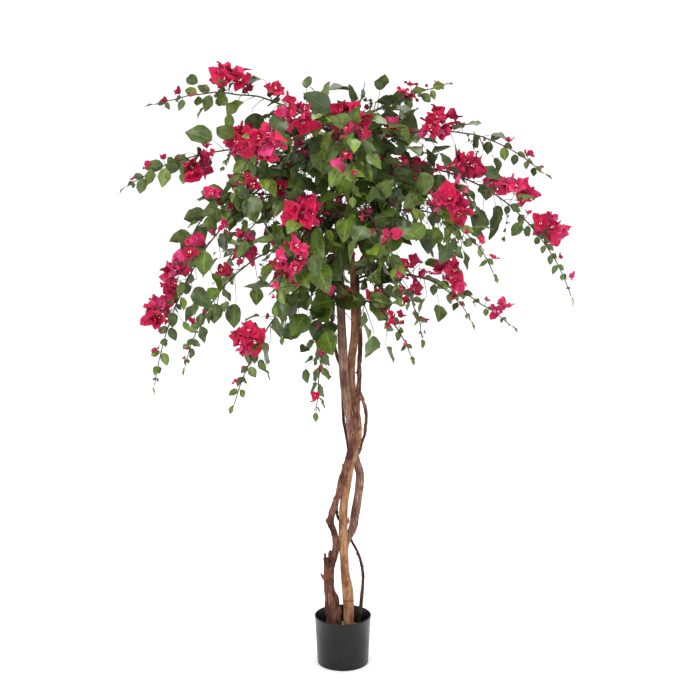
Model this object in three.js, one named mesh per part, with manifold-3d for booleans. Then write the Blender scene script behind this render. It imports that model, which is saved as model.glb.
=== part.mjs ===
// An artificial bougainvillea tree: wooden stems twined together and set in a filled pot, with arching
// sprays of cloth leaves and bracts let into the wood. Millimetres, +Z up, +X to the right of someone who
// faces the tree's front, -Y towards them. The origin is the middle of the pot's flat underside.
import * as THREE from "three";
import { mergeVertices } from "three/addons/utils/BufferGeometryUtils.js";
import Module from "manifold-3d";

const wasm = await Module();
wasm.setup();

const gap = 0.3; // left between two solids that touch
const shortestEdge = 0.003; // a mass where blades cross in a finer edge than this is grown again
const degree = Math.PI / 180;
const goldenAngle = 137.5 * degree;
const down = new THREE.Vector3(0, 0, -1);

// ---- driving dimensions

const pot = { rimRadius: 86, footRadius: 78, height: 151, wall: 2.5, base: 4, cornerRadius: 3, sides: 36 };
const fillTop = pot.height - 54; // the fill is well below the rim
const stemFoot = fillTop + gap;

// Each stem is a row of stations from its flat cut to its tip: height, x, y and radius there.
const stems = {
  stem_smooth: [
    [stemFoot, 14, 25, 11.5], [250, 12, 25, 10.5], [320, 6, 25, 10.5], [360, 7, 25, 10.5], [385, 15, 24, 10.8],
    [405, 25, 23.5, 12], [428, 33, 23, 13], [460, 36.5, 22.5, 13], [500, 43.5, 22, 13], [546, 49.6, 21, 13],
    [590, 50.5, 20, 12], [624, 42, 19, 11.8], [655, 35.5, 17.5, 11.8], [705, 26, 12, 11.8],
    [745, 22, 6, 11.5], [785, 16.5, -1, 11.5], [825, 12.3, -4, 13.3], [868, 6, -5, 13.8],
    [960, 1, -6, 13.5], [1075, -4, -2, 12.5], [1300, -12, 0, 11], [1600, -8, 0, 8],
  ],
  stem_tan: [
    [stemFoot, 17, -13, 15.5], [165, 17.5, -13, 15.8], [215, 15.5, -12.5, 17], [232, 14.5, -12, 17],
    [251, 12, -12, 15.8], [272, 8.5, -11.5, 14], [294, 6, -11, 12.7], [340, 4, -9, 13], [400, 1, -5, 13.5],
    [510, 4, -6, 12.5], [580, 16, -9, 12], [650, 29, -10.5, 11], [700, 45, -4, 10.5], [730, 46.5, 6, 10.5],
    [760, 43.5, 17, 10.8], [850, 28, 18, 11.5], [930, 26, 18, 12], [1020, 36, 13, 12],
    [1100, 35, 11, 11], [1250, 27, 8, 8],
  ],
  stem_gnarled: [
    [stemFoot, -22, -8, 15.5], [245, -38, -8, 11.5], [300, -36, -9, 10.5], [345, -25, -10, 10.5],
    [378, -20, -12, 10], [414, -26, -12, 10], [449, -37, -12, 10.5], [540, -12, -20, 10],
    [618, 8, -31, 10.5], [690, 28, -33, 10.5], [741, 34, -24, 9.5], [792, 42, -14, 8.5],
    [845, 47, -7, 7.5], [915, 49, -6, 7], [1000, 52, -6, 6.5], [1195, 43, -10, 5],
  ],
  vine_long: [
    [stemFoot, 47, 4, 6.5], [216, 58, 4, 5], [277, 61, 5, 4.6], [334, 49, 12, 4.3], [372, 26, 42, 4.2],
    [395, 14, 43, 4.1], [419, 2, 38, 4], [456, -16, 18, 4], [497, -17, 10, 4], [544, 2, 22, 4],
    [621, 18, 30, 4], [695, 12, 33, 4.2], [750, 3, 20, 4.3], [820, 0, 16, 4.4], [910, -5, 17, 4.5],
    [955, -18, 8, 4.6], [1042, -32, 5, 4.7], [1086, -28, 5, 4.6], [1190, -27, 9, 4],
  ],
};

// What else grows from the gnarled stem, fused to it: the broken stump of an older stem, a buttress, the
// stub of a lost twig, and a thin shoot that leaves it high up and curls behind the other stems.
const gnarledExtras = [
  [[stemFoot, -30, -6, 20], [200, -37, -6, 17.5], [260, -43, -6, 15], [332, -47, -5, 11.5]],
  [[stemFoot, -14, -4, 11], [150, -17, -4.5, 10.8], [200, -21.5, -5, 10], [225, -27, -7, 6]],
  [[262, -52, -6, 4.5], [270, -61, -6, 3.4], [286, -67, -7, 2.2]],
  [
    [852, 47, -7, 5.6], [826, 58, -3, 5.2], [774, 70, 3, 5.2], [713, 65, 12, 4.8], [665, 54, 36, 4.4],
    [621, 40, 40, 3],
  ],
];
const stemSides = 8;
const stemStep = 56; // length of one straight piece of a stem

// A spray leaves its stem at a foot height, towards a compass angle that runs from +X through +Y. It starts
// out at `rise` degrees above level and has bent down by `droop` degrees at its tip, the more of it near the
// foot the lower `bend` is. Its share `bare` is bough, and the rest carries leaves. A spray that weeps has
// two masses of leaves, which meet at the share `split`. `blooms` are the large clusters: the share where a
// cluster's stalk stands, and the degrees that the stalk is turned from upright.
const sprayColumns = [
  "name", "stem", "foot", "toward", "length", "rise", "droop", "bend", "bare", "split", "blooms",
];
const sprayRows = [
  ["top_left", "stem_smooth", 1568, 176, 580, 52, 72, 0.8, 0.13, 1, [[0.62, 0]]],
  ["left", "stem_smooth", 1490, 184, 640, 30, 64, 0.9, 0.14, 1, [[0.44, 60], [0.66, 140]]],
  ["low_left", "stem_smooth", 1535, 198, 900, 8, 88, 0.55, 0.12, 0.58, [[0.67, 0], [0.79, 0]]],
  ["mid_left", "stem_smooth", 1305, 193, 540, 50, 124, 1.35, 0.16, 1, []],
  ["inner_left", "stem_smooth", 1272, 164, 690, 39, 114, 0.5, 0.15, 0.62, []],
  ["hang_left", "stem_smooth", 1240, 222, 560, -14, 54, 0.8, 0.14, 0.6, [[0.68, 0]]],
  ["hang_front_left", "stem_smooth", 1190, 250, 420, -28, 52, 0.5, 0.15, 1, []],
  ["front_left", "stem_smooth", 1345, 243, 470, 30, 104, 0.8, 0.15, 1, [[0.42, 0], [0.74, 60]]],
  ["front_top_left", "stem_smooth", 1578, 228, 500, 46, 112, 0.8, 0.13, 1, [[0.42, 50], [0.7, 75]]],
  ["front_top", "stem_smooth", 1550, 276, 460, 56, 128, 0.8, 0.14, 1, [[0.42, 15]]],
  ["front_right", "stem_smooth", 1380, 296, 480, 30, 106, 0.8, 0.14, 1, []],
  ["hang_front_right", "stem_gnarled", 1125, 312, 270, -6, 56, 1.1, 0.22, 1, []],
  ["under_front_right", "stem_gnarled", 1170, 335, 400, 26, 88, 1.2, 0.17, 1, [[0.68, 0]]],
  ["under_right", "stem_tan", 1175, 8, 520, 32, 73, 0.5, 0.17, 1, []],
  ["mid_right", "stem_smooth", 1262, 326, 610, 54, 117, 1.05, 0.16, 1, [[0.66, 0]]],
  ["low_right", "stem_smooth", 1430, 356, 860, 56, 126, 0.6, 0.12, 0.66, [[0.44, 0], [0.62, 0], [0.77, 0]]],
  ["right", "stem_smooth", 1475, 4, 670, 56, 99, 0.8, 0.13, 1, [[0.47, -70]]],
  ["top_right", "stem_smooth", 1580, 28, 390, 54, 45, 0.5, 0.16, 1, []],
  ["back_top", "stem_smooth", 1530, 92, 500, 50, 112, 0.8, 0.14, 1, [[0.5, 0]]],
  ["back_top_left", "stem_smooth", 1500, 134, 560, 46, 112, 0.8, 0.14, 1, [[0.66, 0]]],
  ["back_right", "stem_smooth", 1405, 46, 700, 52, 126, 0.7, 0.14, 1, [[0.5, 0], [0.76, 0]]],
  ["back_left", "stem_smooth", 1335, 138, 700, 44, 122, 0.7, 0.14, 1, [[0.7, -60]]],
  ["back", "stem_smooth", 1310, 88, 620, 40, 118, 0.7, 0.14, 1, [[0.66, 0]]],
  ["back_low", "stem_smooth", 1225, 118, 520, 16, 92, 0.8, 0.14, 1, [[0.6, 0]]],
  ["back_low_right", "stem_tan", 1200, 52, 480, 18, 94, 0.8, 0.15, 1, [[0.7, 40]]],
];
const sprays = sprayRows.map((row) => Object.fromEntries(row.map((value, i) => [sprayColumns[i], value])));

const spray = {
  rootRadius: 4, // at the stem
  boughTipRadius: 3.2,
  tipRadius: 1.8, // at the far end of the leaves
  steps: 24, // straight pieces that its line is worked out from
  boughSides: 5,
  boughSteps: 0.7, // pieces that the solid has, for each step of the line
  massSides: 3,
  massSteps: 0.32,
};
const twig = {
  spacing: 61, // along the spray, from one twig to the next
  crowding: 1.25, // above 1 the twigs crowd towards the bough
  spread: 60, // degrees away from the spray's own run
  longest: 84, // near the bough
  shortest: 18, // near the tip
  pairFrom: 55, // a twig longer than this has two leaves on its sides
  radius: 1.4,
  rootRadius: 0.7, // inside the spray
};
const leaf = { longest: 92, shortest: 44, width: 0.74, thickness: 0.03, thinnest: 1.5, widestAt: 0.4 };
const bloom = { stalk: 30, lift: 0.3, bracts: 4, bractLength: 54, bractWidth: 46, apart: 5 };
const clearance = 1.2; // that leaves and twigs keep to the space of their neighbours, and to the stems

// ---- general tools

// Numbers from 0 to 1 that depend only on the seed.
function numbers(seed) {
  let state = (Math.imul(seed, 2654435761) + 12345) >>> 0;
  return () => {
    state = (Math.imul(state, 1664525) + 1013904223) >>> 0;
    return state / 4294967296;
  };
}

// A closed geometry as a solid.
function solidOf(geometry) {
  const bare = new THREE.BufferGeometry();
  bare.setAttribute("position", geometry.getAttribute("position"));
  bare.setIndex(geometry.index);
  const merged = mergeVertices(bare, 1e-3);
  return new wasm.Manifold(new wasm.Mesh({
    numProp: 3,
    vertProperties: new Float32Array(merged.getAttribute("position").array),
    triVerts: new Uint32Array(merged.index.array),
  }));
}

// The largest body of a solid, as a geometry.
function geometryOf(solid) {
  const largest = solid.decompose().reduce((a, b) => (a.volume() > b.volume() ? a : b));
  const mesh = largest.getMesh();
  const geometry = new THREE.BufferGeometry();
  geometry.setAttribute("position", new THREE.BufferAttribute(new Float32Array(mesh.vertProperties), 3));
  geometry.setIndex(new THREE.BufferAttribute(new Uint32Array(mesh.triVerts), 1));
  geometry.computeVertexNormals();
  return geometry;
}

// A round limb: a cylinder laid along a path. place(t) gives the point there and two directions across the
// limb, and radius(t) how thick it is.
function limb(place, radius, sides, steps) {
  const geometry = new THREE.CylinderGeometry(1, 1, 1, sides, steps);
  const position = geometry.getAttribute("position");
  const vertex = new THREE.Vector3();
  for (let i = 0; i < position.count; i += 1) {
    vertex.fromBufferAttribute(position, i);
    const t = vertex.y + 0.5;
    const at = place(t);
    const thick = radius(t);
    const point = at.point.clone().addScaledVector(at.across, vertex.z * thick);
    point.addScaledVector(at.over, vertex.x * thick);
    position.setXYZ(i, point.x, point.y, point.z);
  }
  return geometry;
}

// Two directions across a limb that runs along a tangent.
function frameOf(point, tangent, reference) {
  const across = new THREE.Vector3().crossVectors(reference, tangent).normalize();
  const over = new THREE.Vector3().crossVectors(tangent, across).normalize();
  return { point, tangent, across, over };
}

// ---- pot and fill

function latheUpright(outline) {
  const points = outline.map(([r, z]) => new THREE.Vector2(r, z));
  return new THREE.LatheGeometry(points, pot.sides).rotateX(Math.PI / 2);
}

function potGeometry() {
  const { rimRadius, footRadius, height, wall, base, cornerRadius } = pot;
  return latheUpright([
    [0, 0], [footRadius - cornerRadius, 0], [footRadius, cornerRadius],
    [rimRadius, height], [rimRadius - wall, height], [footRadius - wall, base], [0, base],
  ]);
}

function fillGeometry() {
  const { rimRadius, footRadius, height, wall, base } = pot;
  const taper = (rimRadius - footRadius) / (height - base);
  const inside = (z) => footRadius - wall - gap + taper * (z - base);
  const foot = base + gap;
  return latheUpright([[0, foot], [inside(foot), foot], [inside(fillTop), fillTop], [0, fillTop]]);
}

// ---- stems

// A smooth path through a stem's stations, with its radius on the way.
function stemPath(stations) {
  const points = stations.map(([z, x, y]) => new THREE.Vector3(x, y, z));
  const curve = new THREE.CatmullRomCurve3(points, false, "centripetal");
  const last = stations.length - 1;
  const flatFoot = stations[0][0] === stemFoot;
  const side = new THREE.Vector3(0, 1, 0);
  return {
    steps: Math.max(3, Math.round(curve.getLength() / stemStep)),
    place: (t) => {
      const at = frameOf(curve.getPoint(t), curve.getTangent(t), side);
      return flatFoot && t === 0 ? { ...at, across: new THREE.Vector3(1, 0, 0), over: side } : at;
    },
    radius: (t) => {
      const i = Math.min(Math.floor(t * last), last - 1);
      return THREE.MathUtils.lerp(stations[i][3], stations[i + 1][3], t * last - i);
    },
  };
}

// The point and radius of a stem at a height.
function stemAt(stations, height) {
  const path = stemPath(stations);
  let low = 0;
  let high = 1;
  for (let i = 0; i < 30; i += 1) {
    const middle = (low + high) / 2;
    if (path.place(middle).point.z < height) low = middle;
    else high = middle;
  }
  return { point: path.place(low).point, radius: path.radius(low) };
}

function stemSolid(stations, extra = 0) {
  const path = stemPath(stations);
  return solidOf(limb(path.place, (t) => path.radius(t) + extra, stemSides, path.steps));
}

// ---- sprays

// The line of a spray, as the points at the ends of its straight steps.
function spineOf({ stem, foot, toward, length, rise, droop, bend }) {
  const start = stemAt(stems[stem], foot).point;
  const heading = new THREE.Vector3(Math.cos(toward * degree), Math.sin(toward * degree), 0);
  const step = length / spray.steps;
  const points = [start.clone()];
  for (let i = 0; i < spray.steps; i += 1) {
    const slope = (rise - droop * ((i + 0.5) / spray.steps) ** bend) * degree;
    const next = points[i].clone().addScaledVector(heading, step * Math.cos(slope));
    next.z += step * Math.sin(slope);
    points.push(next);
  }
  const level = new THREE.Vector3(-heading.y, heading.x, 0);
  const place = (t) => {
    const along = THREE.MathUtils.clamp(t, 0, 1) * spray.steps;
    const i = Math.min(Math.floor(along), spray.steps - 1);
    const before = points[Math.max(i - 1, 0)];
    const after = points[Math.min(i + 2, spray.steps)];
    const tangent = after.clone().sub(before).normalize();
    const point = points[i].clone().lerp(points[i + 1], along - i);
    return { point, tangent, across: level, over: new THREE.Vector3().crossVectors(level, tangent).negate() };
  };
  return { points, place, length };
}

const spines = sprays.map(spineOf);

function nearestOn(points, p) {
  let best = { distance: Infinity, share: 0 };
  const run = new THREE.Vector3();
  const toPoint = new THREE.Vector3();
  for (let i = 0; i + 1 < points.length; i += 1) {
    run.subVectors(points[i + 1], points[i]);
    toPoint.subVectors(p, points[i]);
    const part = THREE.MathUtils.clamp(toPoint.dot(run) / run.lengthSq(), 0, 1);
    const distance = toPoint.addScaledVector(run, -part).length();
    if (distance < best.distance) best = { distance, share: (i + part) / (points.length - 1) };
  }
  return best;
}

const stemLines = Object.values(stems).map((stations) => {
  const path = stemPath(stations);
  const shares = Array.from({ length: 41 }, (_, i) => i / 40);
  return { points: shares.map((t) => path.place(t).point), radius: path.radius };
});

// True if a point lies in the space of one mass: nearer to its own stretch of spray than to any other spray,
// and clear of the stems.
function inOwnSpace(mass, p) {
  const own = nearestOn(spines[mass.index].points, p);
  const pastEnd = mass.to < 1 && own.share > mass.to - clearance / mass.spine.length;
  if (own.share < mass.from + clearance / mass.spine.length || pastEnd) return false;
  for (let i = 0; i < spines.length; i += 1) {
    if (i !== mass.index && nearestOn(spines[i].points, p).distance < own.distance + clearance) return false;
  }
  return stemLines.every((line) => {
    const near = nearestOn(line.points, p);
    return near.distance > line.radius(near.share) + clearance + 1;
  });
}

// A leaf or bract that leaves a point along a direction, facing as nearly as it can a given way. Its stalk
// starts at root and its blade at base, which may be the same point.
function bladeFrom(root, base, run, facing, length, width) {
  const along = run.clone().normalize();
  const side = new THREE.Vector3().crossVectors(along, facing).normalize();
  const normal = new THREE.Vector3().crossVectors(side, along);
  return { root, base, along, side, normal, length, width };
}

// True if all of a leaf, and of its stalk, lies in the space of its mass.
function bladeFits(mass, { root, base, along, side, length, width }) {
  const at = (l, w) => base.clone().addScaledVector(along, l * length).addScaledVector(side, w * width);
  const edge = [[0.2, 0.25], [0.4, 0.5], [0.6, 0.34], [0.8, 0.17]];
  const points = [at(0.4, 0), at(1, 0), ...edge.flatMap(([l, w]) => [at(l, w), at(l, -w)])];
  if (root !== base) points.push(root.clone().lerp(base, 0.4), root.clone().lerp(base, 0.7), base);
  return points.every((p) => inOwnSpace(mass, p));
}

// A leaf as a solid: a cone with three sides, whose rings are the stalk's foot, the stalk's top where there
// is one, and the blade's widest place, with its keel on the upper side.
function bladeSolid({ root, base, along, side, normal, length, width }) {
  const rings = root === base ? 2 : 3;
  const geometry = new THREE.ConeGeometry(1, 1, 3, rings);
  const position = geometry.getAttribute("position");
  const thick = Math.max(leaf.thickness * length, leaf.thinnest);
  const widest = base.clone().addScaledVector(along, leaf.widestAt * length);
  const tip = base.clone().addScaledVector(along, length);
  const centres = rings === 2 ? [root, widest, tip] : [root, base, widest, tip];
  for (let i = 0; i < position.count; i += 1) {
    const ring = Math.round((position.getY(i) + 0.5) * rings);
    const unit = ring < rings ? rings / (rings - ring) : 0;
    const [across, up] = [position.getX(i) * unit, position.getZ(i) * unit];
    const broad = ring === rings - 1;
    const narrow = ring > 0 ? twig.radius : rings === 2 ? 0 : twig.rootRadius;
    const point = centres[ring].clone()
      .addScaledVector(side, across * (broad ? width / Math.sqrt(3) : narrow))
      .addScaledVector(normal, up * (broad ? thick / 1.5 : narrow));
    position.setXYZ(i, point.x, point.y, point.z);
  }
  return solidOf(geometry);
}

// ---- masses of leaves

// Which way a leaf hangs from a point: outwards and down, with some chance in it.
function leafRun(run, random) {
  const outward = run.clone().normalize().addScaledVector(down, 0.3 + 0.5 * random());
  outward.x += (random() - 0.5) * 0.8;
  outward.y += (random() - 0.5) * 0.8;
  return outward;
}

function leafFacing(run, random) {
  return new THREE.Vector3(random() - 0.5, random() - 0.5, 1).addScaledVector(run, 0.5);
}

// A twig with its leaves: one that grows out of its end, and one or two from its sides.
function twigSolids(mass, at, away, size, reach, random) {
  const leafFrom = (root, base, towards, length) => {
    const blade = bladeFrom(root, base, towards, leafFacing(run, random), length, length * leaf.width);
    return bladeFits(mass, blade) ? [bladeSolid(blade)] : [];
  };
  const angle = twig.spread * degree;
  const run = at.tangent.clone().multiplyScalar(Math.cos(angle)).addScaledVector(away, Math.sin(angle));
  const base = at.point.clone().addScaledVector(run, reach);
  const solids = leafFrom(at.point, base, leafRun(run, random), size);
  if (!solids.length) return [];
  const aside = new THREE.Vector3().crossVectors(run, at.tangent).normalize();
  const twigSide = random() < 0.5 ? -1 : 1;
  const places = reach > twig.pairFrom ? [[0.42, 1], [0.68, -1]] : [[0.5, twigSide]];
  for (const [part, turn] of places) {
    const root = at.point.clone().lerp(base, part);
    const towards = leafRun(run.clone().addScaledVector(aside, turn * 1.5), random);
    solids.push(...leafFrom(root, root, towards, size * 0.9));
  }
  return solids;
}

// A large cluster: bracts that stand out all round the end of a stalk.
function bloomSolids(mass, [share, turned], random) {
  const at = mass.spine.place(share);
  const [upright, aside] = [Math.cos(turned * degree), Math.sin(turned * degree)];
  const stalk = at.over.clone().multiplyScalar(upright).addScaledVector(at.across, aside);
  stalk.z += bloom.lift * upright;
  stalk.normalize();
  const solids = [];
  for (let i = 0; i < bloom.bracts; i += 1) {
    const turn = ((i * 2) / bloom.bracts + 0.1 * random()) * 2 * Math.PI;
    const along = at.across.clone().multiplyScalar(Math.cos(turn));
    along.addScaledVector(at.tangent, Math.sin(turn)).addScaledVector(stalk, 0.2 + 0.6 * random());
    const top = at.point.clone().addScaledVector(stalk, bloom.stalk - i * bloom.apart);
    const root = i ? top : at.point;
    const blade = bladeFrom(root, top, along, stalk, bloom.bractLength, bloom.bractWidth);
    if (bladeFits(mass, blade)) solids.push(bladeSolid(blade));
    else if (i === 0) return [];
  }
  return solids;
}

// A size between the shortest and the longest, by a share that goes up to 1.
function sizeAt({ shortest, longest }, share) {
  return THREE.MathUtils.lerp(shortest, longest, Math.min(1, share));
}

// All of one mass: its stretch of the spray, twigs that leave it at the golden angle, and what they carry.
function massGeometry(mass) {
  const { spine, from, to, bare } = mass;
  const random = numbers(mass.seed);
  const start = from + gap / spine.length;
  const share = (t) => THREE.MathUtils.lerp(start, to - (to < 1 ? gap / spine.length : 0), t);
  const thick = (s) => THREE.MathUtils.lerp(spray.boughTipRadius, spray.tipRadius, (s - bare) / (1 - bare));
  const steps = Math.round((to - from) * spray.steps * spray.massSteps);
  const stem = limb((t) => spine.place(share(t)), (t) => thick(share(t)), spray.massSides, steps);
  const solids = [solidOf(stem)];
  const count = Math.round(((to - from) * spine.length) / twig.spacing);
  for (let k = 0; k < count; k += 1) {
    const s = from + ((k + 0.5) / count) ** twig.crowding * (to - from);
    const at = spine.place(s);
    const size = sizeAt(leaf, (1 - s) * 1.7) * (0.85 + 0.3 * random());
    const reach = sizeAt(twig, (1 - s) * 1.2) * (0.7 + 0.5 * random());
    for (const [turn, shorter] of [[0, 1], [1, 1], [0, 0.4], [2, 0.5]]) {
      const roll = (k + mass.seed + turn * 2) * goldenAngle;
      const away = at.across.clone().multiplyScalar(Math.cos(roll)).addScaledVector(at.over, Math.sin(roll));
      const grown = twigSolids(mass, at, away, size, reach * shorter, random);
      solids.push(...grown);
      if (grown.length) break;
    }
  }
  for (const cluster of mass.blooms) solids.push(...bloomSolids(mass, cluster, random));
  if (to === 1) {
    const at = spine.place(1);
    const end = at.point.clone().addScaledVector(at.tangent, -2);
    const blade = bladeFrom(end, end, at.tangent, at.over, leaf.shortest, leaf.shortest * leaf.width);
    if (bladeFits(mass, blade)) solids.push(bladeSolid(blade));
  }
  return geometryOf(wasm.Manifold.union(solids));
}

// The length of the shortest edge of a geometry.
function finestEdge(geometry) {
  const index = geometry.index.array;
  const position = geometry.getAttribute("position");
  const corners = [0, 1, 2].map(() => new THREE.Vector3());
  let shortest = Infinity;
  for (let i = 0; i < index.length; i += 3) {
    corners.forEach((corner, j) => corner.fromBufferAttribute(position, index[i + j]));
    const lengths = corners.map((corner, j) => corner.distanceTo(corners[(j + 1) % 3]));
    shortest = Math.min(shortest, ...lengths);
  }
  return shortest;
}

// ---- the tree

const colours = {
  plastic: { color: "#2c2c2f", roughness: 0.45, metalness: 0 },
  cement: { color: "#8d877f", roughness: 0.95, metalness: 0 },
  smoothWood: { color: "#a5784f", roughness: 0.75, metalness: 0 },
  roughWood: { color: "#6b4a39", roughness: 0.9, metalness: 0 },
  wrappedWire: { color: "#39452c", roughness: 0.7, metalness: 0 },
  foliage: { color: "#47632f", roughness: 0.65, metalness: 0 },
};

const tree = new THREE.Group();

function add(name, geometry, look) {
  const mesh = new THREE.Mesh(geometry, new THREE.MeshStandardMaterial(colours[look]));
  mesh.name = name;
  tree.add(mesh);
}

add("pot", potGeometry(), "plastic");
add("pot_fill", fillGeometry(), "cement");

for (const [name, stations] of Object.entries(stems)) {
  const parts = name === "stem_gnarled" ? [stations, ...gnarledExtras] : [stations];
  const solid = wasm.Manifold.union(parts.map((part) => stemSolid(part)));
  add(name, geometryOf(solid), name === "stem_smooth" || name === "stem_tan" ? "smoothWood" : "roughWood");
}

sprays.forEach((entry, index) => {
  const spine = spines[index];
  const { name, bare, split, blooms } = entry;
  const reach = (t) => spine.place(t * bare);
  const thick = (t) => THREE.MathUtils.lerp(spray.rootRadius, spray.boughTipRadius, t);
  const steps = Math.ceil(bare * spray.steps * spray.boughSteps);
  const whole = solidOf(limb(reach, thick, spray.boughSides, steps));
  add(`bough_${name}`, geometryOf(whole.subtract(stemSolid(stems[entry.stem], gap))), "wrappedWire");
  const ranges = split < 1 ? [[bare, split], [split, 1]] : [[bare, 1]];
  ranges.forEach(([from, to], i) => {
    const mass = { index, spine, bare, from, to, seed: index * 2 + i + 1 };
    mass.blooms = blooms.filter(([share]) => share > from && share <= to);
    let leaves = massGeometry(mass);
    while (finestEdge(leaves) < shortestEdge) {
      mass.seed += 2 * sprays.length;
      leaves = massGeometry(mass);
    }
    add(i ? `leaves_${name}_tail` : `leaves_${name}`, leaves, "foliage");
  });
});

export default tree;
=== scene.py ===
import math

import bmesh
import bpy
import numpy as np
from mathutils import Matrix, Vector, noise


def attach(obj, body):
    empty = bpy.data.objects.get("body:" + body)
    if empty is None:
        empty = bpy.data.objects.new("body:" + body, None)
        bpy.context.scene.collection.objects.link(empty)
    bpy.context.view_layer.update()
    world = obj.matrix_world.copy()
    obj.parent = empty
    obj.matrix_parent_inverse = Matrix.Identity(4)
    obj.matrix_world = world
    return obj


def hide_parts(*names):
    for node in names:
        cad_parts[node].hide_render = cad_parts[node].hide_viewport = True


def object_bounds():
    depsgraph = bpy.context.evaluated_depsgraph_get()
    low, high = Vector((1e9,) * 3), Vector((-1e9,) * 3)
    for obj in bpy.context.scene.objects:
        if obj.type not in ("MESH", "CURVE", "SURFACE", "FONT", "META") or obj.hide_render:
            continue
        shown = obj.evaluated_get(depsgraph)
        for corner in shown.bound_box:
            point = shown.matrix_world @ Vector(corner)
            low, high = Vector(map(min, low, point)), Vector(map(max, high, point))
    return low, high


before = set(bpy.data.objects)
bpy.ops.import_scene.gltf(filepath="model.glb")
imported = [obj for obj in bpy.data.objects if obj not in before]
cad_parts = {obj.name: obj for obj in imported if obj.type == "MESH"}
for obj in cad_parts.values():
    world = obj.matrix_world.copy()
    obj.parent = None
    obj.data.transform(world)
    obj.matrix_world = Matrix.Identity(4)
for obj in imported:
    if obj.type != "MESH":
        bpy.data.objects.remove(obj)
cadLow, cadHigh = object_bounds()
print("frame loaded")

# An artificial bougainvillea tree. Shapes are worked out in millimetres, and become metres with their mesh.
millimetre = 0.001
degree = math.pi / 180
goldenAngle = 137.5 * degree
up = np.array([0.0, 0.0, 1.0])


# The next few functions make materials.
def linear(hexColour):  # an sRGB hex colour as the linear colour that a socket takes
    channels = [int(hexColour[i:i + 2], 16) / 255 for i in (1, 3, 5)]
    return *[c / 12.92 if c <= 0.04045 else ((c + 0.055) / 1.055) ** 2.4 for c in channels], 1.0


def addNode(tree, kind, inputs=None, **settings):  # an input is a value, or a socket that is linked to it
    made = tree.nodes.new(kind)
    for key, value in settings.items():
        setattr(made, key, value)
    for key, value in (inputs or {}).items():
        if isinstance(value, bpy.types.NodeSocket):
            tree.links.new(value, made.inputs[key])
        else:
            made.inputs[key].default_value = value
    return made


def newMaterial(name, surfaceInputs):  # returns the material, its nodes and its shader
    material = bpy.data.materials.new(name)
    material.use_nodes = True
    tree = material.node_tree
    shader = tree.nodes["Principled BSDF"]
    for key, value in surfaceInputs.items():
        shader.inputs[key].default_value = value
    return material, tree, shader


mixFactor, mixFirst, mixSecond, mixResult = 0, 6, 7, 2  # sockets of a Mix node that is set to colours


def mixColours(tree, factor, first, second, blend="MIX"):
    inputs = {mixFactor: factor, mixFirst: first, mixSecond: second}
    return addNode(tree, "ShaderNodeMix", inputs, data_type="RGBA", blend_type=blend).outputs[mixResult]


def linkSurface(tree, shader, colour, bump):  # the colour and the relief that the shader shows
    tree.links.new(colour, shader.inputs["Base Color"])
    tree.links.new(bump.outputs["Normal"], shader.inputs["Normal"])


def perMetre(size):  # the scale of a pattern whose features are this many millimetres apart
    return 1 / (size * millimetre)


# The next few functions make shapes.
def unit(v):
    return v / math.sqrt(v @ v)


def lerp(a, b, t):
    return a + (b - a) * t


def numbers(seed):  # gives a function that draws numbers from 0 to 1, always the same ones for a seed
    state = (seed * 2654435761 + 12345) % 2 ** 32

    def draw():
        nonlocal state
        state = (state * 1664525 + 1013904223) % 2 ** 32
        return state / 2 ** 32

    return draw


def drawn(pair, draw):  # a number that is at least the first of the pair, and more by up to the second
    return pair[0] + pair[1] * draw()


def addObject(name, mesh):
    made = bpy.data.objects.new(name, mesh)
    bpy.context.scene.collection.objects.link(made)
    return made


def finished(obj, slot, nodes, materials, smooth=40):  # a piece of the tree, which stands for these CAD nodes
    for material in materials:
        obj.data.materials.append(material)
    obj.data.polygons.foreach_set("use_smooth", [True] * len(obj.data.polygons))
    obj.data.set_sharp_from_angle(angle=smooth * degree)
    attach(obj, "root")
    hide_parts(*nodes)
    print(obj.name, len(obj.data.polygons), "faces")


def meshOf(bm, name):  # a bmesh in millimetres as a mesh in metres
    bm.transform(Matrix.Scale(millimetre, 4))
    mesh = bpy.data.meshes.new(name)
    bm.to_mesh(mesh)
    bm.free()
    return mesh


def spun(outline, sides):  # a closed round shape about Z, from the radius and height of each point
    bm = bmesh.new()
    verts = [bm.verts.new((r, 0, z)) for r, z in outline]
    edges = [bm.edges.new(pair) for pair in zip(verts, verts[1:])]
    bmesh.ops.spin(
        bm, geom=verts + edges, cent=(0, 0, 0), axis=(0, 0, 1), angle=2 * math.pi, steps=sides,
        use_merge=True,
    )
    bmesh.ops.remove_doubles(bm, verts=bm.verts, dist=0.01)
    bmesh.ops.recalc_face_normals(bm, faces=bm.faces)
    return bm


def rodMesh(name, rods, resolution=1):  # round rods, each a list of (point, radius), as one mesh
    curve = bpy.data.curves.new(name, "CURVE")
    curve.dimensions = "3D"
    curve.bevel_depth = millimetre
    curve.bevel_resolution = resolution
    curve.use_fill_caps = True
    for rod in rods:
        spline = curve.splines.new("POLY")
        spline.points.add(len(rod) - 1)
        places = [(*(point * millimetre), 1.0) for point, radius in rod]
        spline.points.foreach_set("co", np.array(places).ravel())
        spline.points.foreach_set("radius", [radius for point, radius in rod])
    holder = addObject(name, curve)
    shown = holder.evaluated_get(bpy.context.evaluated_depsgraph_get())
    mesh = bpy.data.meshes.new_from_object(shown)
    bpy.data.objects.remove(holder)
    bpy.data.curves.remove(curve)
    return mesh


def nodesNamed(*starts):  # the CAD nodes whose names start so
    return [name for name in sorted(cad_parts) if name.startswith(starts)]


# The pot: an open tapered shell, spun from the outline of its wall.
potSettings = {
    "rimRadius": 86, "footRadius": 78, "height": 151, "wall": 2.5, "base": 4, "cornerRadius": 3,
    "lipHeight": 6, "lipProud": 0.7, "sides": 144,
}


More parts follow.
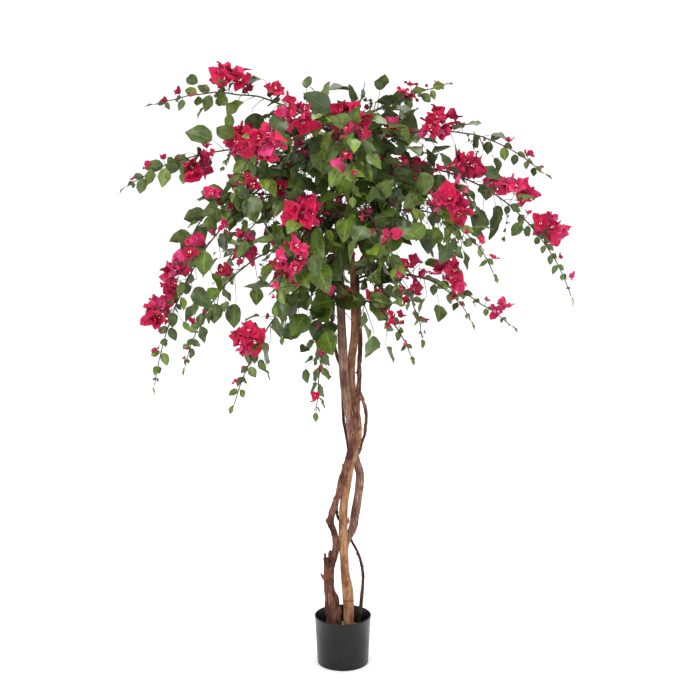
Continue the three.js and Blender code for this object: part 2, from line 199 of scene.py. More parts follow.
def makePot():
    s = potSettings
    rim, foot, height, wall = s["rimRadius"], s["footRadius"], s["height"], s["wall"]
    side = lambda z: foot + (rim - foot) / height * z - s["lipProud"]
    corner = [
        (foot - s["cornerRadius"] * (1 - math.sin(a)), s["cornerRadius"] * (1 - math.cos(a)))
        for a in np.linspace(0, math.pi / 2, 6)
    ]
    lip = height - s["lipHeight"]
    outline = [  # up the outside, over the lip with its edges eased by a millimetre or less, down the inside
        (0, 0), *corner, (side(lip * 0.5), lip * 0.5), (side(lip - 1), lip - 1), (side(lip) + 0.6, lip),
        (rim - 0.1, lip + 1.2), (rim, height - 1), (rim - 0.8, height), (rim - wall + 0.6, height),
        (rim - wall, height - 0.8), (foot - wall, s["base"]), (0, s["base"]),
    ]
    shell = addObject("pot_shell", meshOf(spun(outline, s["sides"]), "pot_shell"))
    finished(shell, "pot_plastic", ["pot"], [potPlastic()])


# Black polypropylene, injection moulded: satin, with a faint orange-peel skin and dusty, scuffed patches.
def potPlastic():
    inputs = {"IOR": 1.49, "Specular IOR Level": 0.32}
    material, tree, shader = newMaterial("moulded black polypropylene", inputs)
    place = addNode(tree, "ShaderNodeTexCoord").outputs["Object"]
    scuffs = addNode(tree, "ShaderNodeTexNoise", {"Vector": place, "Scale": perMetre(40), "Detail": 6.0})
    skin = addNode(tree, "ShaderNodeTexNoise", {"Vector": place, "Scale": perMetre(2.5)})
    colour = mixColours(tree, scuffs.outputs["Fac"], linear("#060508"), linear("#100f13"))
    gloss = addNode(
        tree, "ShaderNodeMapRange",
        {"Value": scuffs.outputs["Fac"], "From Min": 0.3, "From Max": 0.7, "To Min": 0.24, "To Max": 0.38},
    )
    bump = addNode(
        tree, "ShaderNodeBump", {"Height": skin.outputs["Fac"], "Strength": 0.25, "Distance": 0.0003},
    )
    tree.links.new(gloss.outputs["Result"], shader.inputs["Roughness"])
    linkSurface(tree, shader, colour, bump)
    return material


makePot()

# The stems. Each is a row of stations from its flat cut to its tip: height, x, y and radius there.
fillTop = potSettings["height"] - 54
stemFoot = fillTop + 0.3
stems = {
    "stem_smooth": [
        [stemFoot, 14, 25, 11.5], [250, 12, 25, 10.5], [320, 6, 25, 10.5], [360, 7, 25, 10.5],
        [385, 15, 24, 10.8], [405, 25, 23.5, 12], [428, 33, 23, 13], [460, 36.5, 22.5, 13],
        [500, 43.5, 22, 13], [546, 49.6, 21, 13],
        [590, 50.5, 20, 12], [624, 42, 19, 11.8], [655, 35.5, 17.5, 11.8], [705, 26, 12, 11.8],
        [745, 22, 6, 11.5], [785, 16.5, -1, 11.5], [825, 12.3, -4, 13.3], [868, 6, -5, 13.8],
        [960, 1, -6, 13.5], [1075, -4, -2, 12.5], [1300, -12, 0, 11], [1600, -8, 0, 8],
    ],
    "stem_tan": [
        [stemFoot, 17, -13, 15.5], [165, 17.5, -13, 15.8], [215, 15.5, -12.5, 17], [232, 14.5, -12, 17],
        [251, 12, -12, 15.8], [272, 8.5, -11.5, 14], [294, 6, -11, 12.7], [340, 4, -9, 13],
        [400, 1, -5, 13.5], [510, 4, -6, 12.5], [580, 16, -9, 12], [650, 29, -10.5, 11],
        [700, 45, -4, 10.5], [730, 46.5, 6, 10.5], [760, 43.5, 17, 10.8], [850, 28, 18, 11.5],
        [930, 26, 18, 12], [1020, 36, 13, 12], [1100, 35, 11, 11], [1250, 27, 8, 8],
    ],
    "stem_gnarled": [
        [stemFoot, -22, -8, 15.5], [245, -38, -8, 11.5], [300, -36, -9, 10.5], [345, -25, -10, 10.5],
        [378, -20, -12, 10], [414, -26, -12, 10], [449, -37, -12, 10.5], [540, -12, -20, 10],
        [618, 8, -31, 10.5], [690, 28, -33, 10.5], [741, 34, -24, 9.5], [792, 42, -14, 8.5],
        [845, 47, -7, 7.5], [915, 49, -6, 7], [1000, 52, -6, 6.5], [1195, 43, -10, 5],
    ],
    "vine_long": [
        [stemFoot, 47, 4, 6.5], [216, 58, 4, 5], [277, 61, 5, 4.6], [334, 49, 12, 4.3], [372, 26, 42, 4.2],
        [395, 14, 43, 4.1], [419, 2, 38, 4], [456, -16, 18, 4], [497, -17, 10, 4], [544, 2, 22, 4],
        [621, 18, 30, 4], [695, 12, 33, 4.2], [750, 3, 20, 4.3], [820, 0, 16, 4.4], [910, -5, 17, 4.5],
        [955, -18, 8, 4.6], [1042, -32, 5, 4.7], [1086, -28, 5, 4.6], [1190, -27, 9, 4],
    ],
}
stump = [[stemFoot, -30, -6, 20], [200, -37, -6, 17.5], [260, -43, -6, 15], [332, -47, -5, 11.5]]
buttress = [[stemFoot, -14, -4, 11], [150, -17, -4.5, 10.8], [200, -21.5, -5, 10], [225, -27, -7, 6]]
spur = [[262, -52, -6, 4.5], [270, -61, -6, 3.4], [286, -67, -7, 2.2]]
sideShoot = [
    [852, 47, -7, 5.6], [826, 58, -3, 5.2], [774, 70, 3, 5.2], [713, 65, 12, 4.8], [665, 54, 36, 4.4],
    [621, 40, 40, 3],
]
cutStub = [[716, 44, 2, 7], [728, 50, -7, 6], [737, 55, -13, 5.2]]  # on the tan stem


def stemPath(stations):  # point(t) and radius(t) on a smooth centripetal curve through the stations
    points = [np.array([x, y, z], float) for z, x, y, radius in stations]
    last = len(points) - 1
    points = [2 * points[0] - points[1], *points, 2 * points[-1] - points[-2]]

    def point(t):
        i = min(int(t * last), last - 1)
        part = t * last - i
        p0, p1, p2, p3 = points[i:i + 4]
        d0, d1, d2 = [math.dist(a, b) ** 0.5 for a, b in ((p0, p1), (p1, p2), (p2, p3))]
        out = ((p1 - p0) / d0 - (p2 - p0) / (d0 + d1) + (p2 - p1) / d1) * d1
        come = ((p2 - p1) / d1 - (p3 - p1) / (d1 + d2) + (p3 - p2) / d2) * d1
        square = 3 * (p2 - p1) - 2 * out - come
        cube = 2 * (p1 - p2) + out + come
        return p1 + out * part + square * part ** 2 + cube * part ** 3

    def radius(t):
        i = min(int(t * last), last - 1)
        return lerp(stations[i][3], stations[i + 1][3], t * last - i)

    return point, radius


def stemAt(stations, height):  # the point of a stem at a height, found by halving
    point, radius = stemPath(stations)
    low, high = 0, 1
    for halving in range(30):
        middle = (low + high) / 2
        low, high = (middle, high) if point(middle)[2] < height else (low, middle)
    return point(low)


def rodAlong(stations, steps):
    point, radius = stemPath(stations)
    return [(point(t), radius(t)) for t in np.linspace(0, 1, steps)]


# What each wooden stem is made of. knobs are swellings: x, y, z and three radii. thorns are stubs of lost
# twigs on its first rod: height, compass angle, length and radius. The reliefs are heights in millimetres:
# ridges run along the stem, lumps are broad, pits are small hollows and grain is fine. stains are places
# that are darker and redder: x, y, z and a radius. A ring is where the skin was cut through.
woodSettings = {
    "stem_smooth": {
        "piece": "smooth_stem", "rods": [stems["stem_smooth"]], "slot": "smooth_wood",
        "knobs": [
            (53, 17, 546, 8, 8, 13), (37, 18, 436, 8, 8, 12), (22, 5, 716, 7, 8, 14), (3, -12, 905, 8, 7, 13),
        ],
        "thorns": [(738, 185, 5, 2.6), (1010, 200, 3, 3)],
        "ridges": 0.5, "lumps": 1.2, "pits": 0.5, "grain": 0.2,
        "stains": [(61, 12, 546, 9), (46, 12, 436, 7), (5, -19, 905, 8), (8, -16, 760, 6)],
    },
    "stem_tan": {
        "piece": "tan_stem", "rods": [stems["stem_tan"], cutStub], "slot": "smooth_wood",
        "knobs": [(14, -14, 452, 7, 7, 12), (4, -16, 340, 8, 7, 11)], "thorns": [],
        "ridges": 0.35, "lumps": 1.0, "pits": 0.35, "grain": 0.15,
        "stains": [(57, -15, 739, 5), (14, -20, 452, 5), (4, -24, 340, 5), (10, -28, 262, 5)],
        "ring": {"height": 206, "tilt": 0.12, "edge": 2.5, "strength": 0.9},
    },
    "stem_gnarled": {
        "piece": "gnarled_stem", "rods": [stems["stem_gnarled"], stump, buttress, spur, sideShoot],
        "slot": "bark_wood",
        "knobs": [
            (-41, -14, 452, 11, 11, 12), (-39, -10, 345, 5, 5, 16), (-54, -4, 340, 4, 5, 10),
            (-30, -22, 185, 9, 6, 26), (-50, -12, 232, 8, 8, 22), (-24, -15, 396, 8, 8, 10),
            (20, -38, 655, 8, 6, 12), (-2, -30, 582, 8, 7, 11), (48, -10, 852, 8, 7, 12),
            (-26, -22, 495, 8, 7, 11), (36, -28, 730, 8, 7, 10), (-10, -10, 165, 9, 9, 20),
        ],
        "thorns": [
            (625, 185, 4, 2.8), (797, 190, 5, 2.4), (755, -20, 4, 2.4), (845, 200, 5, 2.2), (520, 200, 3, 3),
            (378, -10, 3, 2.8), (690, -60, 2, 3), (900, 190, 5, 2), (935, -30, 4, 2),
        ],
        "ridges": 1.3, "lumps": 2.4, "pits": 1.8, "grain": 0.5,
        "stains": [(-44, -22, 455, 10), (-47, -18, 288, 12), (12, -34, 620, 9), (30, -38, 700, 9)],
    },
    "vine_long": {
        "piece": "long_vine", "rods": [stems["vine_long"]], "slot": "bark_wood",
        "knobs": [(60, 5, 240, 6, 6, 8), (44, 14, 341, 5.5, 5.5, 7), (-17, 14, 470, 5.5, 5.5, 7)],
        "thorns": [(300, 10, 3, 1.6), (560, 120, 3, 1.6)],
        "ridges": 0.5, "lumps": 0.9, "pits": 0.6, "grain": 0.25, "stains": [],
    },
}
woodGrain = {  # sizes in millimetres
    "voxel": 1.6, "rodSteps": 120, "smoothing": 5, "swell": 0.5, "footKept": 4,
    "ridgeApart": 6, "ridgeLong": 46, "crackWide": 0.16, "crackDeep": 5, "lumpApart": 26,
    "grainApart": 2.2, "grainLong": 7, "pitApart": 9, "pitFrom": 0.12, "pitDeep": 2,
    "stainReach": 1.3, "stainMost": 0.65,
}
thornSettings = {"lift": 0.4, "taper": (1.5, 1.2, 0.5)}  # taper: inside the stem, at its skin and at the end


def thornRod(stations, height, toward, length, radius):
    root = stemAt(stations, height)
    out = np.array([math.cos(toward * degree), math.sin(toward * degree), thornSettings["lift"]])
    reach = min(stations, key=lambda station: abs(station[0] - height))[3]
    places = (root, root + out * reach, root + out * (reach + length))
    return [(place, radius * part) for place, part in zip(places, thornSettings["taper"])]


def makeWood(node, material):
    s = woodSettings[node]
    rods = [rodAlong(stations, woodGrain["rodSteps"]) for stations in s["rods"]]
    rods += [thornRod(s["rods"][0], *thorn) for thorn in s["thorns"]]
    rods = [[(point, radius + woodGrain["swell"]) for point, radius in rod] for rod in rods]
    bm = bmesh.new()
    bm.from_mesh(rodMesh(s["piece"], rods, resolution=6))
    bm.transform(Matrix.Scale(1 / millimetre, 4))
    for x, y, z, *radii in s["knobs"]:
        place = Matrix.Translation((x, y, z)) @ Matrix.Diagonal((*radii, 1))
        bmesh.ops.create_icosphere(bm, subdivisions=2, radius=1, matrix=place)
    obj = addObject(s["piece"], meshOf(bm, s["piece"]))
    remesh = obj.modifiers.new("fuse", "REMESH")
    remesh.mode = "VOXEL"
    remesh.voxel_size = woodGrain["voxel"] * millimetre
    soften = obj.modifiers.new("soften", "SMOOTH")
    soften.iterations = woodGrain["smoothing"]
    fused = bpy.data.meshes.new_from_object(obj.evaluated_get(bpy.context.evaluated_depsgraph_get()))
    obj.modifiers.clear()
    obj.data = fused
    carveBark(fused, s)
    finished(obj, s["slot"], [node], [material], smooth=180)


def carveBark(mesh, s):  # moves each point along its normal, and keeps the relief and stains as attributes
    g = woodGrain
    count = len(mesh.vertices)
    places = np.empty(count * 3)
    normals = np.empty(count * 3)
    mesh.vertices.foreach_get("co", places)
    mesh.vertices.foreach_get("normal", normals)
    places = places.reshape(-1, 3) / millimetre
    normals = normals.reshape(-1, 3)
    apart, long, broad = g["ridgeApart"], g["ridgeLong"], g["lumpApart"]
    fine, fineLong, hole = g["grainApart"], g["grainLong"], g["pitApart"]
    relief = np.empty(count)
    for i, (x, y, z) in enumerate(places):  # the numbers added to a place only keep the patterns apart
        ridge = noise.noise((x / apart, y / apart, z / long))
        crack = abs(noise.noise((x / apart + 40, y / apart, z / long * 1.4)))
        lump = noise.noise((x / broad, y / broad, z / broad * 0.8 + 9))
        grain = noise.noise((x / fine, y / fine, z / fineLong))
        hollow = max(0, noise.noise((x / hole, y / hole, z / hole * 0.7 + 5)) - g["pitFrom"])
        ridge -= max(0, g["crackWide"] - crack) * g["crackDeep"]
        relief[i] = s["ridges"] * ridge + s["lumps"] * lump
        relief[i] += s["grain"] * grain - s["pits"] * hollow * g["pitDeep"]
    foot = np.clip((places[:, 2] - stemFoot) / g["footKept"], 0, 1)  # the flat foot stays where it is
    places += normals * (relief * foot)[:, None]
    mesh.vertices.foreach_set("co", (places * millimetre).ravel())
    stain = np.zeros(count)
    for *centre, radius in s["stains"]:
        distance = np.linalg.norm(places - centre, axis=1)
        stain = np.maximum(stain, np.clip(g["stainReach"] - distance / radius, 0, g["stainMost"]))
    if "ring" in s:
        ring = s["ring"]
        off = np.abs(places[:, 2] - ring["height"] + ring["tilt"] * places[:, 0])
        stain = np.maximum(stain, np.clip(1.5 - off / ring["edge"], 0, ring["strength"]))
    depth = 1.4 * s["ridges"] + s["grain"] + 0.5 * s["pits"]  # about the most that the bark is cut in
    ridgesOnly = relief - s["lumps"] * 0.4 * np.sign(relief)
    for name, values in (("relief", np.clip(0.5 + ridgesOnly / depth / 2, 0, 1)), ("stain", stain)):
        mesh.attributes.new(name, "FLOAT", "POINT").data.foreach_set("value", values)


# Dry wood with its thin bark worn or peeled off: matt, streaked along the grain, grey where bark is left,
# with painted shade that darkens the grooves, cracks and pits of the carved relief, and with small round
# specks about
# 9 mm apart. The streaks are drawn about as wide as they are on such stems. The first three tones are of the
# streaks, and the last is of the patches over them. The specks and the painted shade share one dark colour.
def wood(name, tones, speckAndHollowShade, stain, roughness, specked):
    inputs = {"Roughness": roughness, "IOR": 1.5, "Specular IOR Level": 0.3}
    material, tree, shader = newMaterial(name, inputs)
    place = addNode(tree, "ShaderNodeTexCoord").outputs["Object"]
    along = addNode(tree, "ShaderNodeMapping", {"Vector": place, "Scale": (1, 1, 0.12)}).outputs["Vector"]
    streaks = addNode(tree, "ShaderNodeTexNoise", {"Vector": along, "Scale": perMetre(5), "Detail": 6.0})
    patches = addNode(tree, "ShaderNodeTexNoise", {"Vector": place, "Scale": perMetre(55), "Detail": 3.0})
    specks = addNode(
        tree, "ShaderNodeTexVoronoi", {"Vector": place, "Scale": perMetre(9), "Randomness": 1.0},
    )
    ramp = addNode(tree, "ShaderNodeValToRGB", {"Fac": streaks.outputs["Fac"]})
    stops = ramp.color_ramp.elements
    stops[0].position, stops[0].color = 0.32, linear(tones[0])
    stops[1].position, stops[1].color = 0.68, linear(tones[2])
    stops.new(0.5).color = linear(tones[1])
    patchy = addNode(
        tree, "ShaderNodeMapRange", {"Value": patches.outputs["Fac"], "From Min": 0.45, "From Max": 0.62},
    )
    colour = mixColours(tree, patchy.outputs["Result"], ramp.outputs["Color"], linear(tones[3]), "MULTIPLY")
    speck = addNode(
        tree, "ShaderNodeMapRange",
        {"Value": specks.outputs["Distance"], "From Min": 0.26, "From Max": 0.14, "To Max": specked},
    )
    colour = mixColours(tree, speck.outputs["Result"], colour, linear(speckAndHollowShade))
    # Painted shade: the colour darkens where the carved relief is low, in the grooves, cracks and pits.
    relief = addNode(tree, "ShaderNodeAttribute", attribute_name="relief").outputs["Fac"]
    low = addNode(
        tree, "ShaderNodeMapRange", {"Value": relief, "From Min": 0.42, "From Max": 0.12, "To Max": 0.8},
    )
    colour = mixColours(tree, low.outputs["Result"], colour, linear(speckAndHollowShade))
    marked = addNode(tree, "ShaderNodeAttribute", attribute_name="stain").outputs["Fac"]
    colour = mixColours(tree, marked, colour, linear(stain))
    bump = addNode(
        tree, "ShaderNodeBump", {"Height": streaks.outputs["Fac"], "Strength": 0.5, "Distance": 0.0008},
    )
    linkSurface(tree, shader, colour, bump)
    return material


# Each stem's dark colour draws its specks and the painted shade in the grooves, cracks and pits of its
# relief.
woodFinishes = {
    "stem_smooth": {
        "name": "dry wood with worn bark", "tones": ("#5f463a", "#876557", "#a17e6c", "#b5a49b"),
        "speckAndHollowShade": "#3d2a20", "stain": "#553526", "roughness": 0.78, "specked": 0.55,
    },
    "stem_tan": {
        "name": "dry peeled wood", "tones": ("#785339", "#9b704f", "#b08863", "#cbb59c"),
        "speckAndHollowShade": "#4e3325", "stain": "#6a3626", "roughness": 0.75, "specked": 0.55,
    },
    "stem_gnarled": {
        "name": "gnarled dry bark", "tones": ("#40261e", "#6a4234", "#8d6350", "#a08c86"),
        "speckAndHollowShade": "#241410", "stain": "#5f3229", "roughness": 0.88, "specked": 0.85,
    },
    "vine_long": {
        "name": "dry vine bark", "tones": ("#35201a", "#4c2e24", "#624031", "#8f7565"),
        "speckAndHollowShade": "#251510", "stain": "#43271d", "roughness": 0.85, "specked": 0.55,
    },
}
for node, finish in woodFinishes.items():
    makeWood(node, wood(**finish))

# The cement fill: rough on top, with a low fillet round each stem.
fillSettings = {
    "rings": 44, "sides": 160, "gap": 0.3, "relief": 1.6, "lumpApart": 16, "fillet": 5, "filletRun": 7,
    "sink": 1.5, "edgeRun": 6,
}


def makeFill():
    s, p = fillSettings, potSettings

    def inside(z):  # the radius inside the pot's wall at a height
        part = (z - p["base"]) / (p["height"] - p["base"])
        return p["footRadius"] - p["wall"] - s["gap"] + (p["rimRadius"] - p["footRadius"]) * part

    foot = p["base"] + s["gap"]
    outline = [(r, fillTop) for r in np.linspace(0, inside(fillTop), s["rings"])]
    outline += [(inside(foot), foot), (0, foot)]
    bm = spun(outline, s["sides"])
    rooted = [stations[0] for stations in (*stems.values(), stump, buttress)]
    for vert in bm.verts:
        x, y, z = vert.co
        if z < fillTop - 1:
            continue
        rough = noise.fractal((x / s["lumpApart"], y / s["lumpApart"], 3.0), 0.8, 2.2, 5)
        lift = max(math.exp((r - math.hypot(x - sx, y - sy)) / s["filletRun"]) for h, sx, sy, r in rooted)
        edge = min(1, (inside(fillTop) - math.hypot(x, y)) / s["edgeRun"])
        vert.co.z += s["relief"] * rough * edge + s["fillet"] * min(lift, 1) * edge - s["sink"] * edge
    fill = addObject("cement_fill", meshOf(bm, "cement_fill"))
    finished(fill, "fill_cement", ["pot_fill"], [cement()])


# Cement poured into the pot: dull, sandy and pinkish grey, with fine grit that shows as small specks.
def cement():
    material, tree, shader = newMaterial("poured sandy cement", {"Roughness": 0.95, "IOR": 1.5})
    place = addNode(tree, "ShaderNodeTexCoord").outputs["Object"]
    blotch = addNode(tree, "ShaderNodeTexNoise", {"Vector": place, "Scale": perMetre(22), "Detail": 5.0})
    grit = addNode(tree, "ShaderNodeTexNoise", {"Vector": place, "Scale": perMetre(1.6), "Detail": 2.0})
    colour = mixColours(tree, blotch.outputs["Fac"], linear("#8f8279"), linear("#b9a99e"))
    colour = mixColours(tree, 0.25, colour, grit.outputs["Color"], "OVERLAY")
    bump = addNode(
        tree, "ShaderNodeBump", {"Height": grit.outputs["Fac"], "Strength": 0.7, "Distance": 0.0006},
    )
    linkSurface(tree, shader, colour, bump)
    return material


makeFill()

# The sprays grow by the same rule as the CAD solids, carried to finer twigs. A spray leaves its stem at a
# foot height, towards a compass angle. It starts out at `rise` degrees above level and has bent down by
# `droop` degrees at its tip, earlier on its way the lower `bend` is. Its share `bare` is bough. `light` says
# how far its leaves lean to the lighter cloths; it is painted light and shade, higher on the sprays towards
# the front and lower on those towards the back and the right. `leafy` says how many twigs it has. Above 1,
# `crowd` draws them towards its foot. `end` is the share where leaves in pairs begin, and the length of the
# first of them. `blooms` are the large clusters: the share where a cluster's stalk stands, and the degrees
# that the stalk is turned from upright. `singles` are the smaller ones.
sprayColumns = [
    "name", "stem", "foot", "toward", "length", "rise", "droop", "bend", "bare", "light", "leafy", "crowd",
    "end", "blooms", "singles",
]
sprayRows = [
    ["top_left", "stem_smooth", 1568, 176, 580, 52, 72, 0.8, 0.13, 0.0, 0.9, 1.1, [0.64, 52],
     [[0.62, 0]], [[0.41, 0], [0.54, 10], [0.86, 60]]],
    ["left", "stem_smooth", 1490, 184, 640, 30, 64, 0.9, 0.14, 0.08, 0.9, 1.35, [0.62, 64],
     [[0.44, 60], [0.66, 140]], [[0.5, 0], [0.8, 10], [0.87, -20]]],
    ["low_left", "stem_smooth", 1535, 198, 900, 8, 88, 0.55, 0.12, 0.0, 1.0, 1.2, [0.66, 48],
     [[0.67, 0], [0.79, 0]], [[0.3, 30], [0.56, 0], [0.59, 20], [0.9, 0]]],
    ["mid_left", "stem_smooth", 1305, 193, 540, 50, 124, 1.35, 0.16, 0.1, 1.6, 1.1, [0.58, 86],
     [], [[0.4, 40], [0.6, 0], [0.74, 0]]],
    ["inner_left", "stem_smooth", 1272, 164, 690, 39, 114, 0.5, 0.15, 0.05, 0.8, 1.2, [0.6, 60],
     [], [[0.3, 0], [0.55, 0], [0.8, 20]]],
    ["hang_left", "stem_smooth", 1240, 222, 560, -14, 54, 0.8, 0.14, 0.0, 1.0, 1.7, [0.64, 42],
     [[0.68, 0]], [[0.3, 20], [0.9, 0]]],
    ["hang_front_left", "stem_smooth", 1190, 250, 420, -28, 52, 0.5, 0.15, 0.12, 1.9, 1.9, [0.58, 56],
     [], [[0.22, 50], [0.9, 0]]],
    ["front_left", "stem_smooth", 1345, 243, 470, 30, 104, 0.8, 0.15, 0.25, 1.5, 1.35, [0.64, 56],
     [[0.42, 0], [0.74, 60]], [[0.9, 0]]],
    ["front_top_left", "stem_smooth", 1578, 228, 500, 46, 112, 0.8, 0.13, 0.0, 0.65, 1.1, [0.64, 48],
     [[0.42, 50], [0.7, 75]], [[0.9, 90]]],
    ["front_top", "stem_smooth", 1550, 276, 460, 56, 128, 0.8, 0.14, 0.05, 2.4, 0.95, [0.6, 60],
     [[0.42, 15]], [[0.62, 40], [0.9, 20]]],
    ["front_right", "stem_smooth", 1380, 296, 480, 30, 106, 0.8, 0.14, 0.28, 1.6, 2.0, [0.64, 48],
     [], [[0.7, 0], [0.9, 0]]],
    ["hang_front_right", "stem_gnarled", 1125, 312, 270, -6, 56, 1.1, 0.22, 0.15, 0.8, 2.3, [0.5, 38],
     [], [[0.26, 0], [0.6, 0]]],
    ["under_front_right", "stem_gnarled", 1170, 335, 400, 26, 88, 1.2, 0.17, 0.05, 0.7, 2.0, [0.62, 34],
     [[0.68, 0]], [[0.45, 0]]],
    ["under_right", "stem_tan", 1175, 8, 520, 32, 73, 0.5, 0.17, -0.1, 0.35, 2.4, [0.5, 32],
     [], [[0.6, 0], [0.8, 0]]],
    ["mid_right", "stem_smooth", 1262, 326, 610, 54, 117, 1.05, 0.16, 0.05, 2.2, 1.15, [0.68, 44],
     [[0.66, 0]], [[0.86, 0], [0.95, 0]]],
    ["low_right", "stem_smooth", 1430, 356, 860, 56, 126, 0.6, 0.12, -0.12, 1.4, 1.45, [0.62, 36],
     [[0.44, 0], [0.62, 0], [0.77, 0]], [[0.54, 20], [0.87, 0], [0.94, 0]]],
    ["right", "stem_smooth", 1475, 4, 670, 56, 99, 0.8, 0.13, -0.12, 1.0, 1.35, [0.64, 46],
     [[0.47, -70]], [[0.3, 0], [0.8, 0], [0.9, 0]]],
    ["top_right", "stem_smooth", 1580, 28, 390, 54, 45, 0.5, 0.16, 0.0, 2.6, 1.0, [0.36, 58],
     [], [[0.68, -60]]],
    ["back_top", "stem_smooth", 1530, 92, 500, 50, 112, 0.8, 0.14, -0.1, 1.7, 0.9, [0.6, 56],
     [[0.5, 0]], [[0.75, 20]]],
    ["back_top_left", "stem_smooth", 1500, 134, 560, 46, 112, 0.8, 0.14, -0.1, 1.0, 1.35, [0.64, 52],
     [[0.66, 0]], [[0.4, 0], [0.85, 0]]],
    ["back_right", "stem_smooth", 1405, 46, 700, 52, 126, 0.7, 0.14, -0.15, 1.2, 1.35, [0.64, 50],
     [[0.5, 0], [0.76, 0]], [[0.64, 0], [0.9, 0]]],
    ["back_left", "stem_smooth", 1335, 138, 700, 44, 122, 0.7, 0.14, -0.1, 0.6, 1.6, [0.64, 50],
     [[0.7, -60]], [[0.5, 0], [0.85, 0]]],
    ["back", "stem_smooth", 1310, 88, 620, 40, 118, 0.7, 0.14, -0.15, 0.6, 1.1, [0.64, 46],
     [[0.66, 0]], [[0.45, 0], [0.82, 0]]],
    ["back_low", "stem_smooth", 1225, 118, 520, 16, 92, 0.8, 0.14, -0.1, 0.7, 1.2, [0.6, 52],
     [[0.6, 0]], [[0.4, 0], [0.8, 0]]],
    ["back_low_right", "stem_tan", 1200, 52, 480, 18, 94, 0.8, 0.15, -0.1, 0.12, 1.2, [0.6, 34],
     [], [[0.7, 40], [0.9, 0]]],
]
sprays = [dict(zip(sprayColumns, row)) for row in sprayRows]

spraySettings = {  # the wire wanders off its path, fully after wanderFrom steps and over wanderLong of them
    "rootRadius": 3.6, "boughTipRadius": 3.0, "tipRadius": 1.4, "steps": 48, "wander": 4, "wanderFrom": 8,
    "wanderLong": 5,
}


def spineOf(spray):  # place(share) gives the point, the run and two directions across a spray
    s = spraySettings
    start = stemAt(stems[spray["stem"]], spray["foot"])
    angle = spray["toward"] * degree
    heading = np.array([math.cos(angle), math.sin(angle), 0])
    level = np.array([-math.sin(angle), math.cos(angle), 0])
    steps = s["steps"]
    step = spray["length"] / steps
    points = [start]
    for i in range(steps):
        slope = (spray["rise"] - spray["droop"] * ((i + 0.5) / steps) ** spray["bend"]) * degree
        points.append(points[-1] + heading * step * math.cos(slope) + up * step * math.sin(slope))
    for i, point in enumerate(points):  # a hand-bent wire is never quite even
        off = s["wander"] * min(1, i / s["wanderFrom"])
        aside, above = [noise.noise((i / s["wanderLong"], spray["toward"], row)) for row in (0, 7)]
        points[i] = point + (level * aside + up * above) * off

    def place(share):
        along = min(max(share, 0), 1) * steps
        i = min(int(along), steps - 1)
        run = unit(points[min(i + 2, steps)] - points[max(i - 1, 0)])
        over = unit(np.cross(run, level))
        return points[i] + (points[i + 1] - points[i]) * (along - i), run, np.cross(over, run), over

    return place


grown = {
    "wires": [], "twigs": [], "stalks": [], "flowerStalks": [], "leaves": {}, "bracts": {}, "florets": [],
}
woodSamples = 90  # points along each stem that leaves and twigs keep clear of
reachPast = 8  # millimetres that they may pass the CAD model's box
stemSamples = np.array([
    (*point, radius) for stations in (*stems.values(), stump, buttress, spur, sideShoot)
    for point, radius in rodAlong(stations, woodSamples)
])
reachLow = np.array(cadLow) / millimetre - reachPast
reachHigh = np.array(cadHigh) / millimetre + reachPast


def clearOfWood(points, room=2):  # true if none of the points lies in a stem, or outside the tree's reach
    points = np.array(points)
    if (points < reachLow).any() or (points > reachHigh).any():
        return False
    away = np.linalg.norm(points[:, None] - stemSamples[None, :, :3], axis=2)
    return bool((away > stemSamples[:, 3] + room).all())


leafSettings = {  # a pair is the least of a value, and how much more it may be
    "longest": 74, "shortest": 24, "fallOff": 2.1, "sizes": (0.7, 0.5),
    "narrow": 0.58, "wide": 0.74, "wideFrom": 60, "widths": (0.88, 0.24), "middle": 0.4,
    "stalk": 0.16, "stalkRadius": 0.9, "stalkLift": 0.3,
    "hang": (-0.15, 0.7), "stray": 1.6, "faceUp": 0.8, "faceOut": 0.5, "faceStray": 1.7,
}
trunkGap = {"below": 1105, "left": -28, "right": 60}  # no leaf hangs here, so that the stems show


def addLeaf(root, towards, facing, length, tint, draw):
    s = leafSettings
    along = unit(towards)
    stalkRun = unit(along + up * s["stalkLift"])
    base = root + stalkRun * length * s["stalk"]
    side = unit(np.cross(along, facing))
    width = length * lerp(s["narrow"], s["wide"], min(1, length / s["wideFrom"])) * drawn(s["widths"], draw)
    tip = base + along * length
    middle = base + along * length * s["middle"]
    if not clearOfWood([base, middle + side * width / 2, middle - side * width / 2, middle, tip]):
        return
    if tip[2] < trunkGap["below"] and trunkGap["left"] < middle[0] < trunkGap["right"]:
        return
    bend = root + stalkRun * length * s["stalk"] * 0.5 + up * length * 0.02
    inside = base + along * length * 0.05
    grown["stalks"].append([(root, s["stalkRadius"]), (bend, s["stalkRadius"]), (inside, 0.4)])
    shape = int(draw() * len(leafBlade["shapes"]))
    normal = np.cross(side, along)
    grown["leaves"].setdefault(tint, []).append((shape, base, along, side, normal, length, width))


def leafSize(share, leafy, draw):  # a spray with few twigs has smaller leaves too
    s = leafSettings
    size = lerp(s["shortest"], s["longest"], min(1, (1 - share) * s["fallOff"]))
    return size * min(1, 0.5 + 0.5 * leafy) * drawn(s["sizes"], draw)


def leafDirection(run, draw):  # which way a leaf hangs: outwards and mostly down, with some chance in it
    s = leafSettings
    chance = np.array([draw() - 0.5, draw() - 0.5, draw() - 0.5])
    return unit(run) - up * drawn(s["hang"], draw) + chance * s["stray"]


def leafFacing(at, draw):  # leaves look up and out of the crown, turned at random
    s = leafSettings
    outward = unit(np.array([at[0], at[1], 1e-6]))
    chance = np.array([draw() - 0.5, draw() - 0.5, 0])
    return up * s["faceUp"] + outward * s["faceOut"] + chance * s["faceStray"]


leafTints = {"young": 0.42, "fresh": 0.12, "mid": -0.2}  # the lowest tone of each, with "dark" below them


def leafTint(light, draw):
    # The spray's lean is painted light and shade, lighter towards the front and darker towards the back and
    # the right; the chance added to it mixes the cloths' own tints.
    tone = light + draw() - 0.5
    return next((tint for tint, lowest in leafTints.items() if tone >= lowest), "dark")


